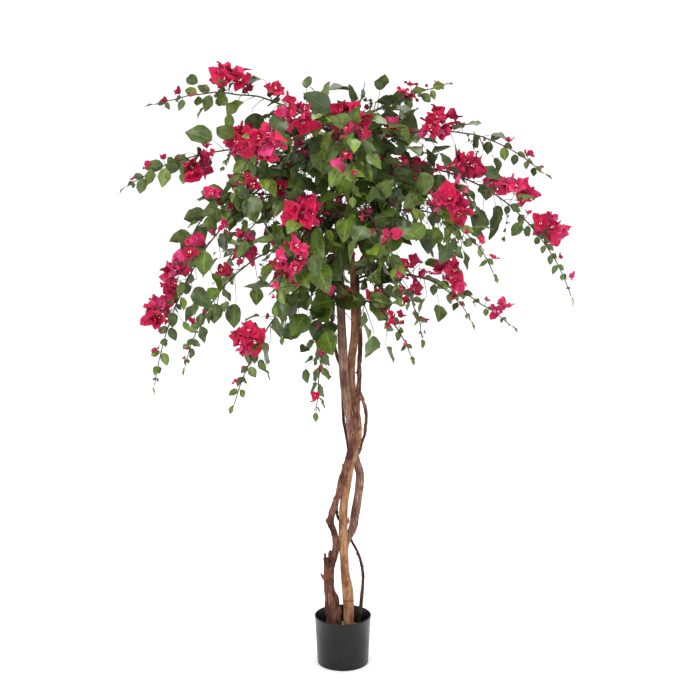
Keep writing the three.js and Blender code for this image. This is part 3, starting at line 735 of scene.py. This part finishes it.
twigSettings = {  # lengths and radii in millimetres, shares of a leaf's length, and pairs as above
    "spacing": 19, "pastEnd": 0.1, "spread": 58, "longest": 92, "shortest": 16, "reaches": (0.6, 0.6),
    "radius": 1.7, "thickness": (0.55, 0.45), "taper": 0.45, "droop": 0.2, "room": 4,
    "leafApart": 0.62, "leafSizes": (0.8, 0.3), "sideLeaf": 0.88, "sideTurn": 1.5, "sameTint": 0.6,
}
sprigSettings = {  # a thin young shoot with small leaves in pairs, in place of every so many twigs
    "every": 6, "from": 0.3, "longest": 62, "reaches": (0.6, 0.7), "leaf": 24, "leafSizes": (0.7, 0.5),
    "thickness": 0.6, "leafApart": 0.85, "shrink": 0.25,
}


def growTwig(at, away, share, spray, index, draw):
    s, p = twigSettings, sprigSettings
    point, run, across, over = at
    start = unit(run * math.cos(s["spread"] * degree) + away * math.sin(s["spread"] * degree))
    reach = lerp(s["shortest"], s["longest"], min(1, (1 - share) * 1.2)) * drawn(s["reaches"], draw)
    size = leafSize(share, spray["leafy"], draw)
    sprig = index % p["every"] == 3 and share > p["from"]
    if sprig:
        reach = p["longest"] * drawn(p["reaches"], draw)
        size = min(size, p["leaf"] * drawn(p["leafSizes"], draw))
    place = lambda t: point + start * reach * t - up * s["droop"] * reach * t * t
    if not clearOfWood([place(0.6), place(1)], s["room"]):
        return
    thick = s["radius"] * (p["thickness"] if sprig else s["thickness"][0] + s["thickness"][1] * (1 - share))
    grown["twigs"].append([(place(t), thick * (1 - s["taper"] * t)) for t in (0, 0.25, 0.5, 0.75, 1)])
    apart = size * (p["leafApart"] if sprig else s["leafApart"]) / min(1, spray["leafy"])
    count = max(1, round(reach / apart))
    aside = unit(np.cross(start, run))
    tint = leafTint(spray["light"], draw)
    for i in range(count):
        t = (i + 1) / count
        last = i == count - 1
        heading = start - up * 2 * s["droop"] * t
        turn = 1 if (i + index) % 2 else -1
        turns = [0] if last and not sprig else [0, -1, 1] if last else [-1, 1] if sprig else [turn]
        for turn in turns:
            towards = leafDirection(heading + aside * turn * (1.0 if last else s["sideTurn"]), draw)
            length = size * drawn(s["leafSizes"], draw) * (1 if turn == 0 else s["sideLeaf"])
            length *= 1 - p["shrink"] * t * sprig
            own = tint if draw() < s["sameTint"] else leafTint(spray["light"], draw)
            addLeaf(place(t if last else t * 0.96), towards, leafFacing(point, draw), length, own, draw)


# Large leaves where the lowest boughs leave the stems: they close the crown over the bare trunk.
collarSettings = {
    "below": 1275, "shares": (0.08, 0.11, 0.14, 0.17, 0.2, 0.24), "leaf": 72, "sizes": (0.7, 0.5),
    "turns": (0.4, 0.9), "hang": (-0.2, 0.7),
}


def growCollar(place, spray, draw):
    s = collarSettings
    for i, share in enumerate(s["shares"]):
        point, run, across, over = place(share)
        turn = (1 if i % 2 else -1) * drawn(s["turns"], draw)
        towards = across * turn - up * drawn(s["hang"], draw) + run * 0.2
        facing = np.array([point[0], point[1], 0]) / 40 + up * 0.5 + across * (draw() - 0.5)
        length = s["leaf"] * drawn(s["sizes"], draw)
        addLeaf(point, towards, facing, length, leafTint(spray["light"], draw), draw)


pairSettings = {
    "apart": (44, 32), "aparts": (0.8, 0.4), "stray": 50, "shrink": 0.6, "sizes": (0.75, 0.4),
    "ahead": (0.2, 0.6), "outward": 0.9, "hang": (0.3, 0.7), "budsFrom": 0.95, "bud": 0.5,
}


def growPairs(place, spray, draw):  # leaves in pairs, straight on the thin end of the wire
    s = pairSettings
    begin, longest = spray["end"]
    share = begin
    turns = int(draw() * 4)
    while share < 0.99:
        part = (share - begin) / (1 - begin)
        point, run, across, over = place(share)
        roll = (turns * 90 + s["stray"] * draw()) * degree
        away = across * math.cos(roll) + over * math.sin(roll)
        for turn in (-1, 1):
            towards = run * drawn(s["ahead"], draw) + away * turn * s["outward"] - up * drawn(s["hang"], draw)
            facing = across * (1 if draw() < 0.5 else -1) + up * 0.5 + run * (draw() - 0.5)
            size = longest * lerp(1, s["shrink"], part) * drawn(s["sizes"], draw)
            size *= s["bud"] if share > s["budsFrom"] else 1
            addLeaf(point, towards, facing, size, leafTint(spray["light"], draw), draw)
        share += lerp(*s["apart"], part) / spray["length"] * drawn(s["aparts"], draw)
        turns += 1


bractSettings = {
    "width": 0.84, "widths": (0.84, 0.28), "sizes": (0.8, 0.35), "opened": (26, 50), "bent": 26,
    "turned": 0.5, "deep": 0.3, "crimson": 0.7,
}
floretSettings = {  # three in a bract of this size or more, and one in a smaller one
    "threeFrom": 24, "longest": 18, "share": 0.6, "sizes": (0.8, 0.35), "lean": (8, 14),
}
bloomSettings = {  # a cluster of triplets of bracts, at the end of a stalk
    "big": {"stalk": 36, "lift": 0.3, "triplets": 8, "sizes": (26, 60), "apart": 21},
    "medium": {"stalk": 24, "lift": 0.3, "triplets": 2, "sizes": (28, 44), "apart": 11},
    "small": {"stalk": 15, "lift": 0.3, "triplets": 1, "sizes": (14, 26), "apart": 0},
    "tiny": {"stalk": 9, "lift": 0.3, "triplets": 1, "sizes": (9, 15), "apart": 0},
}
smallBlooms = {"apart": 54, "aparts": (0.6, 0.8), "mediumShare": 0.06, "tinyFrom": 0.7, "clear": 0.05}


def addTriplet(centre, axis, size, draw):  # three bracts round an axis, with cream florets between them
    s, f = bractSettings, floretSettings
    axis = unit(axis)
    across = unit(np.cross(axis, np.array([0.31, 0.22, 0.92])))  # any direction that is never the axis
    over = np.cross(axis, across)
    spin = draw() * 2 * math.pi
    shade = draw()
    tint = "deep" if shade < s["deep"] else "crimson" if shade < s["crimson"] else "magenta"
    opened = drawn(s["opened"], draw)
    for i in range(3):
        turn = spin + i * 2 * math.pi / 3 + (draw() - 0.5) * s["turned"]
        bent = (opened + (draw() - 0.5) * s["bent"]) * degree
        out = across * math.cos(turn) + over * math.sin(turn)
        along = axis * math.cos(bent) + out * math.sin(bent)
        length = size * drawn(s["sizes"], draw)
        side = unit(np.cross(along, axis * math.sin(bent) - out * math.cos(bent)))
        width = length * s["width"] * drawn(s["widths"], draw)
        shape = int(draw() * len(bractBlade["shapes"]))
        place = (shape, centre + out * size * 0.03, along, side, np.cross(side, along), length, width)
        grown["bracts"].setdefault(tint, []).append(place)
    several = size > f["threeFrom"]
    for i in range(3 if several else 1):
        turn = spin + (i + 0.5) * 2 * math.pi / 3
        lean = drawn(f["lean"], draw) * degree if several else 0
        out = across * math.cos(turn) + over * math.sin(turn)
        along = axis * math.cos(lean) + out * math.sin(lean)
        side = unit(np.cross(along, out + across * 0.01))
        length = min(f["longest"], size * f["share"]) * drawn(f["sizes"], draw)
        grown["florets"].append((0, centre, along, side, np.cross(side, along), length, length))


def growBloom(at, kind, turned, draw):
    s = bloomSettings[kind]
    point, run, across, over = at
    upright, aside = math.cos(turned * degree), math.sin(turned * degree)
    stalk = unit(over * upright + across * aside + up * s["lift"] * upright)
    top = point + stalk * s["stalk"] * drawn((0.85, 0.3), draw)
    if not clearOfWood([top, top + stalk * s["sizes"][0], point + stalk * 8], 4):
        return
    grown["flowerStalks"].append([(point, 1.2), (lerp(point, top, 0.5) + run * 1.5, 1.0), (top, 0.9)])
    sideways = unit(np.cross(stalk, run))
    third = np.cross(stalk, sideways)
    count = s["triplets"]
    for i in range(count):
        lift = 1 - (i + 0.5) / count * 1.3 if count > 1 else 1
        turn = i * goldenAngle + draw() * 0.5
        flat = math.sqrt(max(0, 1 - lift * lift))
        axis = stalk * lift + (sideways * math.cos(turn) + third * math.sin(turn) + run * 0.1) * flat
        centre = top + (axis + run * (draw() - 0.5) * 0.8) * s["apart"] * drawn((0.5, 0.8), draw)
        if count > 1:
            grown["flowerStalks"].append([(top - stalk * 6, 0.8), (centre, 0.7)])
        tilt = np.array([draw() - 0.5, draw() - 0.5, draw() - 0.5]) * 0.8
        addTriplet(centre, unit(axis) + tilt, lerp(*s["sizes"], draw()), draw)


def growSpray(spray, index):
    s, t = spraySettings, twigSettings
    place = spineOf(spray)
    bare = spray["bare"]
    wire = []
    for share in np.linspace(0, 1, s["steps"] + 1):
        if share < bare:
            thick = lerp(s["rootRadius"], s["boughTipRadius"], share / bare)
        else:
            thick = lerp(s["boughTipRadius"], s["tipRadius"], (share - bare) / (1 - bare))
        wire.append((place(share)[0], thick))
    grown["wires"].append(wire)
    draw = numbers(index * 2 + 1)
    start = bare * 0.25
    until = spray["end"][0] + t["pastEnd"]
    count = round((until - start) * spray["length"] * spray["leafy"] / t["spacing"])
    for k in range(count):
        share = start + ((k + 0.5) / count) ** spray["crowd"] * (until - start)
        at = place(share)
        roll = (k + index * 2 + 1) * goldenAngle
        growTwig(at, at[2] * math.cos(roll) + at[3] * math.sin(roll), share, spray, k, draw)
    growPairs(place, spray, draw)
    if spray["foot"] < collarSettings["below"]:
        growCollar(place, spray, draw)
    for share, turned in spray["blooms"]:
        growBloom(place(share), "big", turned, draw)
    for share, turned in spray["singles"]:
        growBloom(place(share), "medium" if share < 0.8 else "small", turned, draw)
    b = smallBlooms
    share = bare
    while share < 0.98:
        near = min(abs(share - place) for place, turned in spray["blooms"] + spray["singles"])
        kind = "small" if share < b["tinyFrom"] else "tiny"
        kind = "medium" if draw() < b["mediumShare"] else kind
        if near > b["clear"]:
            growBloom(place(share), kind, (draw() - 0.5) * 220, draw)
        share += b["apart"] / spray["length"] * drawn(b["aparts"], draw)
    point, run, across, over = place(1)
    addLeaf(point - run * 2, run, over, leafSettings["shortest"] * 1.2, "fresh", draw)


# The blades: one small folded sheet per shape, repeated along the twigs. A shape is the fold up at the rib,
# the droop of the tip, the twist and the wave of the edge.
leafBlade = {
    "rows": [0, 0.04, 0.14, 0.3, 0.48, 0.67, 0.85, 1], "columns": [-1, -0.55, 0, 0.55, 1],
    "baseRound": 0.66, "tipPoint": 0.86, "tipPinch": 0.3, "thick": 0.012,
    "shapes": [
        (0.16, 0.14, 0.0, 0.05), (0.26, 0.26, 0.22, 0.07), (0.08, 0.06, -0.25, 0.08), (0.2, 0.34, -0.1, 0.05),
        (0.34, -0.1, 0.12, 0.06), (0.05, 0.2, 0.15, 0.07),
    ],
}
bractBlade = {
    "rows": [0, 0.06, 0.2, 0.38, 0.56, 0.74, 0.89, 1], "columns": [-1, -0.5, 0, 0.5, 1],
    "baseRound": 0.56, "tipPoint": 0.84, "tipPinch": 0.35, "thick": 0.014,
    "shapes": [
        (0.2, -0.2, 0.15, 0.2), (0.34, -0.08, -0.25, 0.26), (0.1, 0.2, 0.3, 0.22), (0.42, -0.28, 0, 0.18),
        (-0.12, 0.1, -0.2, 0.26), (0.25, 0.3, 0.1, 0.2),
    ],
}

for index, spray in enumerate(sprays):
    growSpray(spray, index)
leafCount = {tint: len(made) for tint, made in grown["leaves"].items()}
print("grown", len(grown["twigs"]), "twigs, leaves", leafCount)


def bladeTemplate(s, shape):  # points, faces, material numbers and flat places of a blade 1 long and 1 wide
    fold, droop, twist, wave = shape
    rows, columns = s["rows"], s["columns"]
    peak = s["baseRound"] / (s["baseRound"] + s["tipPoint"])
    widest = peak ** s["baseRound"] * (1 - peak) ** s["tipPoint"]
    bm = bmesh.new()
    flat = bm.verts.layers.float_vector.new("flat")
    bmesh.ops.create_grid(bm, x_segments=len(rows) - 1, y_segments=len(columns) - 1, size=0.5)
    inner = []
    for vert in bm.verts:
        row = round((vert.co.x + 0.5) * (len(rows) - 1))
        column = round((vert.co.y + 0.5) * (len(columns) - 1))
        u, v = rows[row], columns[column]
        half = 0.5 * u ** s["baseRound"] * (1 - u) ** s["tipPoint"] / widest
        half *= 1 - s["tipPinch"] * max(0, u - 0.6) / 0.4
        y = v * half
        z = abs(y) * fold - droop * u * u + wave * math.sin(u * 11 + v * 2 + fold * 20) * abs(v) * half * 2
        vert.co = (u, y, z + twist * y * u)
        vert[flat] = (u, (v + 1) / 2, 0)
        if 0 < row < len(rows) - 1 and 0 < column < len(columns) - 1:
            inner.append(vert)
    bm.normal_update()
    normals = {vert: vert.normal.copy() for vert in inner}
    copied = bmesh.ops.duplicate(bm, geom=bm.verts[:] + bm.edges[:] + bm.faces[:])
    for vert in inner:
        copied["vert_map"][vert].co -= normals[vert] * s["thick"]
    under = [item for item in copied["geom"] if isinstance(item, bmesh.types.BMFace)]
    bmesh.ops.reverse_faces(bm, faces=under)
    for face in under:
        face.material_index = 1
    bmesh.ops.remove_doubles(bm, verts=bm.verts, dist=1e-5)
    return takeTemplate(bm, flat)


def takeTemplate(bm, flat=None):
    bm.verts.index_update()
    points = np.array([vert.co for vert in bm.verts])
    faces = [[vert.index for vert in face.verts] for face in bm.faces]
    kinds = [face.material_index for face in bm.faces]
    places = [vert[flat][:2] if flat else (0, 0) for face in bm.faces for vert in face.verts]
    bm.free()
    return points, faces, kinds, np.array(places)


def floretTemplate():  # a slim tube that ends in a small five-pointed flare, 1 long
    bm = bmesh.new()
    bmesh.ops.create_cone(
        bm, segments=5, radius1=0.05, radius2=0.08, depth=0.8, matrix=Matrix.Translation((0, 0, 0.4)),
    )
    flare = bmesh.ops.create_cone(
        bm, cap_ends=True, segments=10, radius1=0.07, radius2=0.13, depth=0.1,
        matrix=Matrix.Translation((0, 0, 0.88)),
    )
    for vert in flare["verts"]:
        angle = math.atan2(vert.co.y, vert.co.x)
        if vert.co.z > 0.9 and round(angle / (36 * degree)) % 2:
            vert.co.x *= 0.5
            vert.co.y *= 0.5
    # +Z becomes +X, which runs along the floret
    bm.transform(Matrix(((0, 0, 1, 0), (0, 1, 0, 0), (-1, 0, 0, 0), (0, 0, 0, 1))))
    for vert in flare["verts"]:
        for face in vert.link_faces:
            face.material_index = 1
    return takeTemplate(bm)


def scatter(name, templates, places, slot, nodes, materials):  # joins one copy of a template at each place
    allPoints, allFaces, allKinds, allFlat = [], [], [], []
    offset = 0
    for shape, base, along, side, normal, length, width in places:
        points, faces, kinds, flat = templates[shape]
        moved = base + points[:, :1] * along * length + points[:, 1:2] * side * width
        allPoints.append(moved + points[:, 2:] * normal * length)
        allFaces += [[i + offset for i in face] for face in faces]
        allKinds += kinds
        allFlat.append(flat)
        offset += len(points)
    mesh = bpy.data.meshes.new(name)
    mesh.from_pydata((np.concatenate(allPoints) * millimetre).tolist(), [], allFaces)
    mesh.uv_layers.new(name="blade").data.foreach_set("uv", np.concatenate(allFlat).ravel())
    finished(addObject(name, mesh), slot, nodes, materials, smooth=75)
    mesh.polygons.foreach_set("material_index", allKinds)
    mesh.update()


def overBlade(tree):  # the place on a blade, how far along it that is, and how far from its rib, up to 0.5
    flat = addNode(tree, "ShaderNodeUVMap", uv_map="blade").outputs["UV"]
    parts = addNode(tree, "ShaderNodeSeparateXYZ", {"Vector": flat}).outputs
    off = addNode(tree, "ShaderNodeMath", {0: parts["Y"], 1: 0.5}, operation="SUBTRACT").outputs[0]
    aside = addNode(tree, "ShaderNodeMath", {0: off}, operation="ABSOLUTE").outputs[0]
    return flat, parts["X"], aside


# Polyester cloth, printed with its veins, cut, hot-pressed over a die and dipped in latex: a low gloss, pale
# veins and a thin brown edge. The weave under the print is drawn at 1.5 mm so that it shows.
def leafCloth(name, blade, vein, roughness=0.31, contrast=0.4):
    inputs = {"Roughness": roughness, "IOR": 1.48, "Specular IOR Level": 0.4}
    material, tree, shader = newMaterial(name, inputs)
    place = addNode(tree, "ShaderNodeTexCoord").outputs["Object"]
    flat, along, aside = overBlade(tree)
    lean = addNode(tree, "ShaderNodeMath", {0: aside, 1: -3.6}, operation="MULTIPLY").outputs[0]
    phase = addNode(tree, "ShaderNodeMath", {0: along, 1: 6.5, 2: lean}, operation="MULTIPLY_ADD").outputs[0]
    beside = addNode(tree, "ShaderNodeMath", {0: phase, 1: 0.5}, operation="PINGPONG").outputs[0]
    sideVeins = addNode(
        tree, "ShaderNodeMapRange", {"Value": beside, "From Max": 0.14, "To Min": 0.26, "To Max": 0},
    ).outputs["Result"]
    rib = addNode(
        tree, "ShaderNodeMapRange", {"Value": aside, "From Max": 0.06, "To Min": 0.6, "To Max": 0},
    ).outputs["Result"]
    veins = addNode(tree, "ShaderNodeMath", {0: sideVeins, 1: rib}, operation="MAXIMUM").outputs[0]
    edge = addNode(
        tree, "ShaderNodeMapRange", {"Value": aside, "From Min": 0.44, "From Max": 0.5, "To Max": 0.5},
    ).outputs["Result"]
    printed = addNode(tree, "ShaderNodeTexNoise", {"Vector": place, "Scale": perMetre(22), "Detail": 4.0})
    weave = addNode(tree, "ShaderNodeTexNoise", {"Vector": place, "Scale": perMetre(1.5)}).outputs["Fac"]
    tone = addNode(
        tree, "ShaderNodeMapRange", {"Value": printed.outputs["Fac"], "From Min": 0.35, "From Max": 0.65},
    ).outputs["Result"]
    colour = mixColours(tree, tone, shade(blade, 1 - contrast), shade(blade, 1 + contrast))
    colour = mixColours(tree, veins, colour, linear(vein))
    colour = mixColours(tree, edge, colour, linear("#5c5226"))
    pressed = addNode(tree, "ShaderNodeBump", {"Height": veins, "Strength": 0.4, "Distance": 0.0006})
    threads = addNode(
        tree, "ShaderNodeBump",
        {"Height": weave, "Strength": 0.25, "Distance": 0.0004, "Normal": pressed.outputs["Normal"]},
    )
    linkSurface(tree, shader, colour, threads)
    return material


def shade(hexColour, factor):  # the colour made darker or lighter
    return tuple(min(1, c * factor) for c in linear(hexColour)[:3]) + (1.0,)


# Thin polyester cloth, printed and crinkled by the press: nearly matt, with random patches of tone, painted
# shade in the hollows of the crinkles and a painted highlight on their crests, streaked along the bract, and
# paler at its edge. The crinkles are drawn a few to a bract, as they are on the real ones.
def bractCloth(name, face, edge, roughness=0.62):
    inputs = {"Roughness": roughness, "IOR": 1.48, "Specular IOR Level": 0.25, "Sheen Weight": 0.03}
    material, tree, shader = newMaterial(name, inputs)
    place = addNode(tree, "ShaderNodeTexCoord").outputs["Object"]
    flat, along, aside = overBlade(tree)
    drawnOut = addNode(tree, "ShaderNodeMapping", {"Vector": flat, "Scale": (2.5, 13, 1)}).outputs["Vector"]
    crinkle = addNode(
        tree, "ShaderNodeTexNoise", {"Vector": drawnOut, "Scale": 1.0, "Detail": 3.0},
    ).outputs["Fac"]
    patches = addNode(tree, "ShaderNodeTexNoise", {"Vector": place, "Scale": perMetre(14), "Detail": 3.0})
    crinkleShadeAndPatches = addNode(
        tree, "ShaderNodeMath", {0: crinkle, 1: patches.outputs["Fac"]}, operation="ADD",
    ).outputs[0]
    tone = addNode(
        tree, "ShaderNodeMapRange", {"Value": crinkleShadeAndPatches, "From Min": 0.8, "From Max": 1.2},
    ).outputs["Result"]
    rim = addNode(
        tree, "ShaderNodeMapRange", {"Value": aside, "From Min": 0.38, "From Max": 0.5, "To Max": 0.6},
    ).outputs["Result"]
    # Painted shade and highlight: darker where a crinkle is low and lighter where it is high, with random
    # patches of tone.
    colour = mixColours(tree, tone, shade(face, 0.62), shade(face, 1.3))
    colour = mixColours(tree, rim, colour, linear(edge))
    bump = addNode(tree, "ShaderNodeBump", {"Height": crinkle, "Strength": 1.0, "Distance": 0.0025})
    linkSurface(tree, shader, colour, bump)
    return material


leafColours = {  # blade, veins, underside and its veins
    "dark": ("#334419", "#5c6c30", "#44522c", "#5d6b3f"),
    "mid": ("#3f5218", "#6f8234", "#4d5e30", "#6d7d4c"),
    "fresh": ("#4b601a", "#8a9c44", "#5a6b34", "#80904f"),
    "young": ("#607924", "#9aad4f", "#6a7e3c", "#8fa05a"),
}
bractColours = {  # inner face, its edge, and the back
    "crimson": ("#cc114a", "#da3a6c", "#c02456"),
    "magenta": ("#d62560", "#e5588a", "#ca3c72"),
    "deep": ("#b40a3c", "#c6265a", "#a81a45"),
}
masses = nodesNamed("leaves_")
leafTemplates = [bladeTemplate(leafBlade, shape) for shape in leafBlade["shapes"]]
for tint, places in grown["leaves"].items():
    blade, vein, back, backVein = leafColours[tint]
    materials = [
        leafCloth(f"{tint} printed leaf cloth", blade, vein),
        leafCloth(f"{tint} leaf cloth underside", back, backVein, roughness=0.7),
    ]
    scatter(f"leaves_{tint}", leafTemplates, places, "foliage_cloth", masses, materials)
bractTemplates = [bladeTemplate(bractBlade, shape) for shape in bractBlade["shapes"]]
for tint, places in grown["bracts"].items():
    face, edge, back = bractColours[tint]
    materials = [
        bractCloth(f"{tint} crinkled bract cloth", face, edge),
        bractCloth(f"{tint} bract cloth back", back, edge, 0.72),
    ]
    scatter(f"bracts_{tint}", bractTemplates, places, "bract_cloth", masses, materials)
floretCloths = [
    bractCloth("floret tube cloth", "#b83a60", "#c9587c"),
    bractCloth("floret cream cloth", "#dccba4", "#e8dcc0"),
]
scatter("florets", [floretTemplate()], grown["florets"], "bract_cloth", masses, floretCloths)


# Steel wire wrapped in paper tape and dipped in latex: matt, dark brown-green, with short darker bands.
def wrappedWire(name, dark, light, band):
    material, tree, shader = newMaterial(name, {"Roughness": 0.7, "IOR": 1.5, "Specular IOR Level": 0.3})
    place = addNode(tree, "ShaderNodeTexCoord").outputs["Object"]
    blotch = addNode(tree, "ShaderNodeTexNoise", {"Vector": place, "Scale": perMetre(band), "Detail": 4.0})
    colour = mixColours(tree, blotch.outputs["Fac"], linear(dark), linear(light))
    bump = addNode(
        tree, "ShaderNodeBump", {"Height": blotch.outputs["Fac"], "Strength": 0.4, "Distance": 0.0006},
    )
    linkSurface(tree, shader, colour, bump)
    return material


rodSettings = {  # what is drawn, how round, and its material: a name, two colours and millimetres to a band
    "bough_wires": ("wires", 2, ("paper-wrapped wire", "#27251d", "#4d4736", 9)),
    "twigs": ("twigs", 1, ("latex-dipped twig", "#2f2b20", "#5a523c", 6)),
    "leaf_stalks": ("stalks", 1, ("leaf stalk latex", "#4a5e30", "#7f8f55", 5)),
    "flower_stalks": ("flowerStalks", 1, ("flower stalk latex", "#5a4a34", "#7a6a45", 5)),
}
for name, (kind, resolution, finish) in rodSettings.items():
    nodes = nodesNamed("bough_") if name == "bough_wires" else masses
    rods = addObject(name, rodMesh(name, grown[kind], resolution))
    finished(rods, "wrapped_wire", nodes, [wrappedWire(*finish)], smooth=70)

# The floor, the lights and the camera.
stageSettings = {"floor": 60, "worldColour": "#ffffff", "worldStrength": 1.16}


def makeStage():
    bm = bmesh.new()
    bmesh.ops.create_grid(bm, x_segments=1, y_segments=1, size=stageSettings["floor"])
    mesh = bpy.data.meshes.new("floor")
    bm.to_mesh(mesh)
    bm.free()
    floor = addObject("floor", mesh)
    inputs = {"Roughness": 0.9, "Base Color": linear("#ffffff")}
    material, tree, shader = newMaterial("matt white floor", inputs)
    mesh.materials.append(material)
    world = bpy.data.worlds.new("studio")
    world.use_nodes = True
    background = world.node_tree.nodes["Background"]
    background.inputs["Color"].default_value = linear(stageSettings["worldColour"])
    background.inputs["Strength"].default_value = stageSettings["worldStrength"]
    bpy.context.scene.world = world


lightSettings = {  # place in metres, size in metres and power in watts
    "key": {"place": (-2.2, -3.2, 3.6), "size": 1.8, "power": 74},
    "fill": {"place": (2.8, -2.6, 2.2), "size": 2.0, "power": 32},
    "top": {"place": (0.3, 0.8, 4.2), "size": 2.2, "power": 48},
}


def makeLights():
    target = Vector((0, 0, 1.0))
    for name, s in lightSettings.items():
        data = bpy.data.lights.new(name, "AREA")
        data.shape = "DISK"
        data.size = s["size"]
        data.energy = s["power"]
        light = bpy.data.objects.new(name, data)
        light.location = s["place"]
        light.rotation_euler = (target - light.location).to_track_quat("-Z", "Y").to_euler()
        bpy.context.scene.collection.objects.link(light)


cameraSettings = {"place": (0.0217, -4.0, 1.69), "down": 10.2, "lens": 70.97, "sensor": 36}


def makeCamera():
    s = cameraSettings
    data = bpy.data.cameras.new("camera")
    data.lens = s["lens"]
    data.sensor_width = s["sensor"]
    camera = bpy.data.objects.new("camera", data)
    camera.location = s["place"]
    camera.rotation_euler = ((90 - s["down"]) * degree, 0, 0)
    bpy.context.scene.collection.objects.link(camera)
    bpy.context.scene.camera = camera


makeStage()
makeLights()
makeCamera()
bpy.context.scene.view_settings.view_transform = "Standard"
print("stage, lights and camera made")
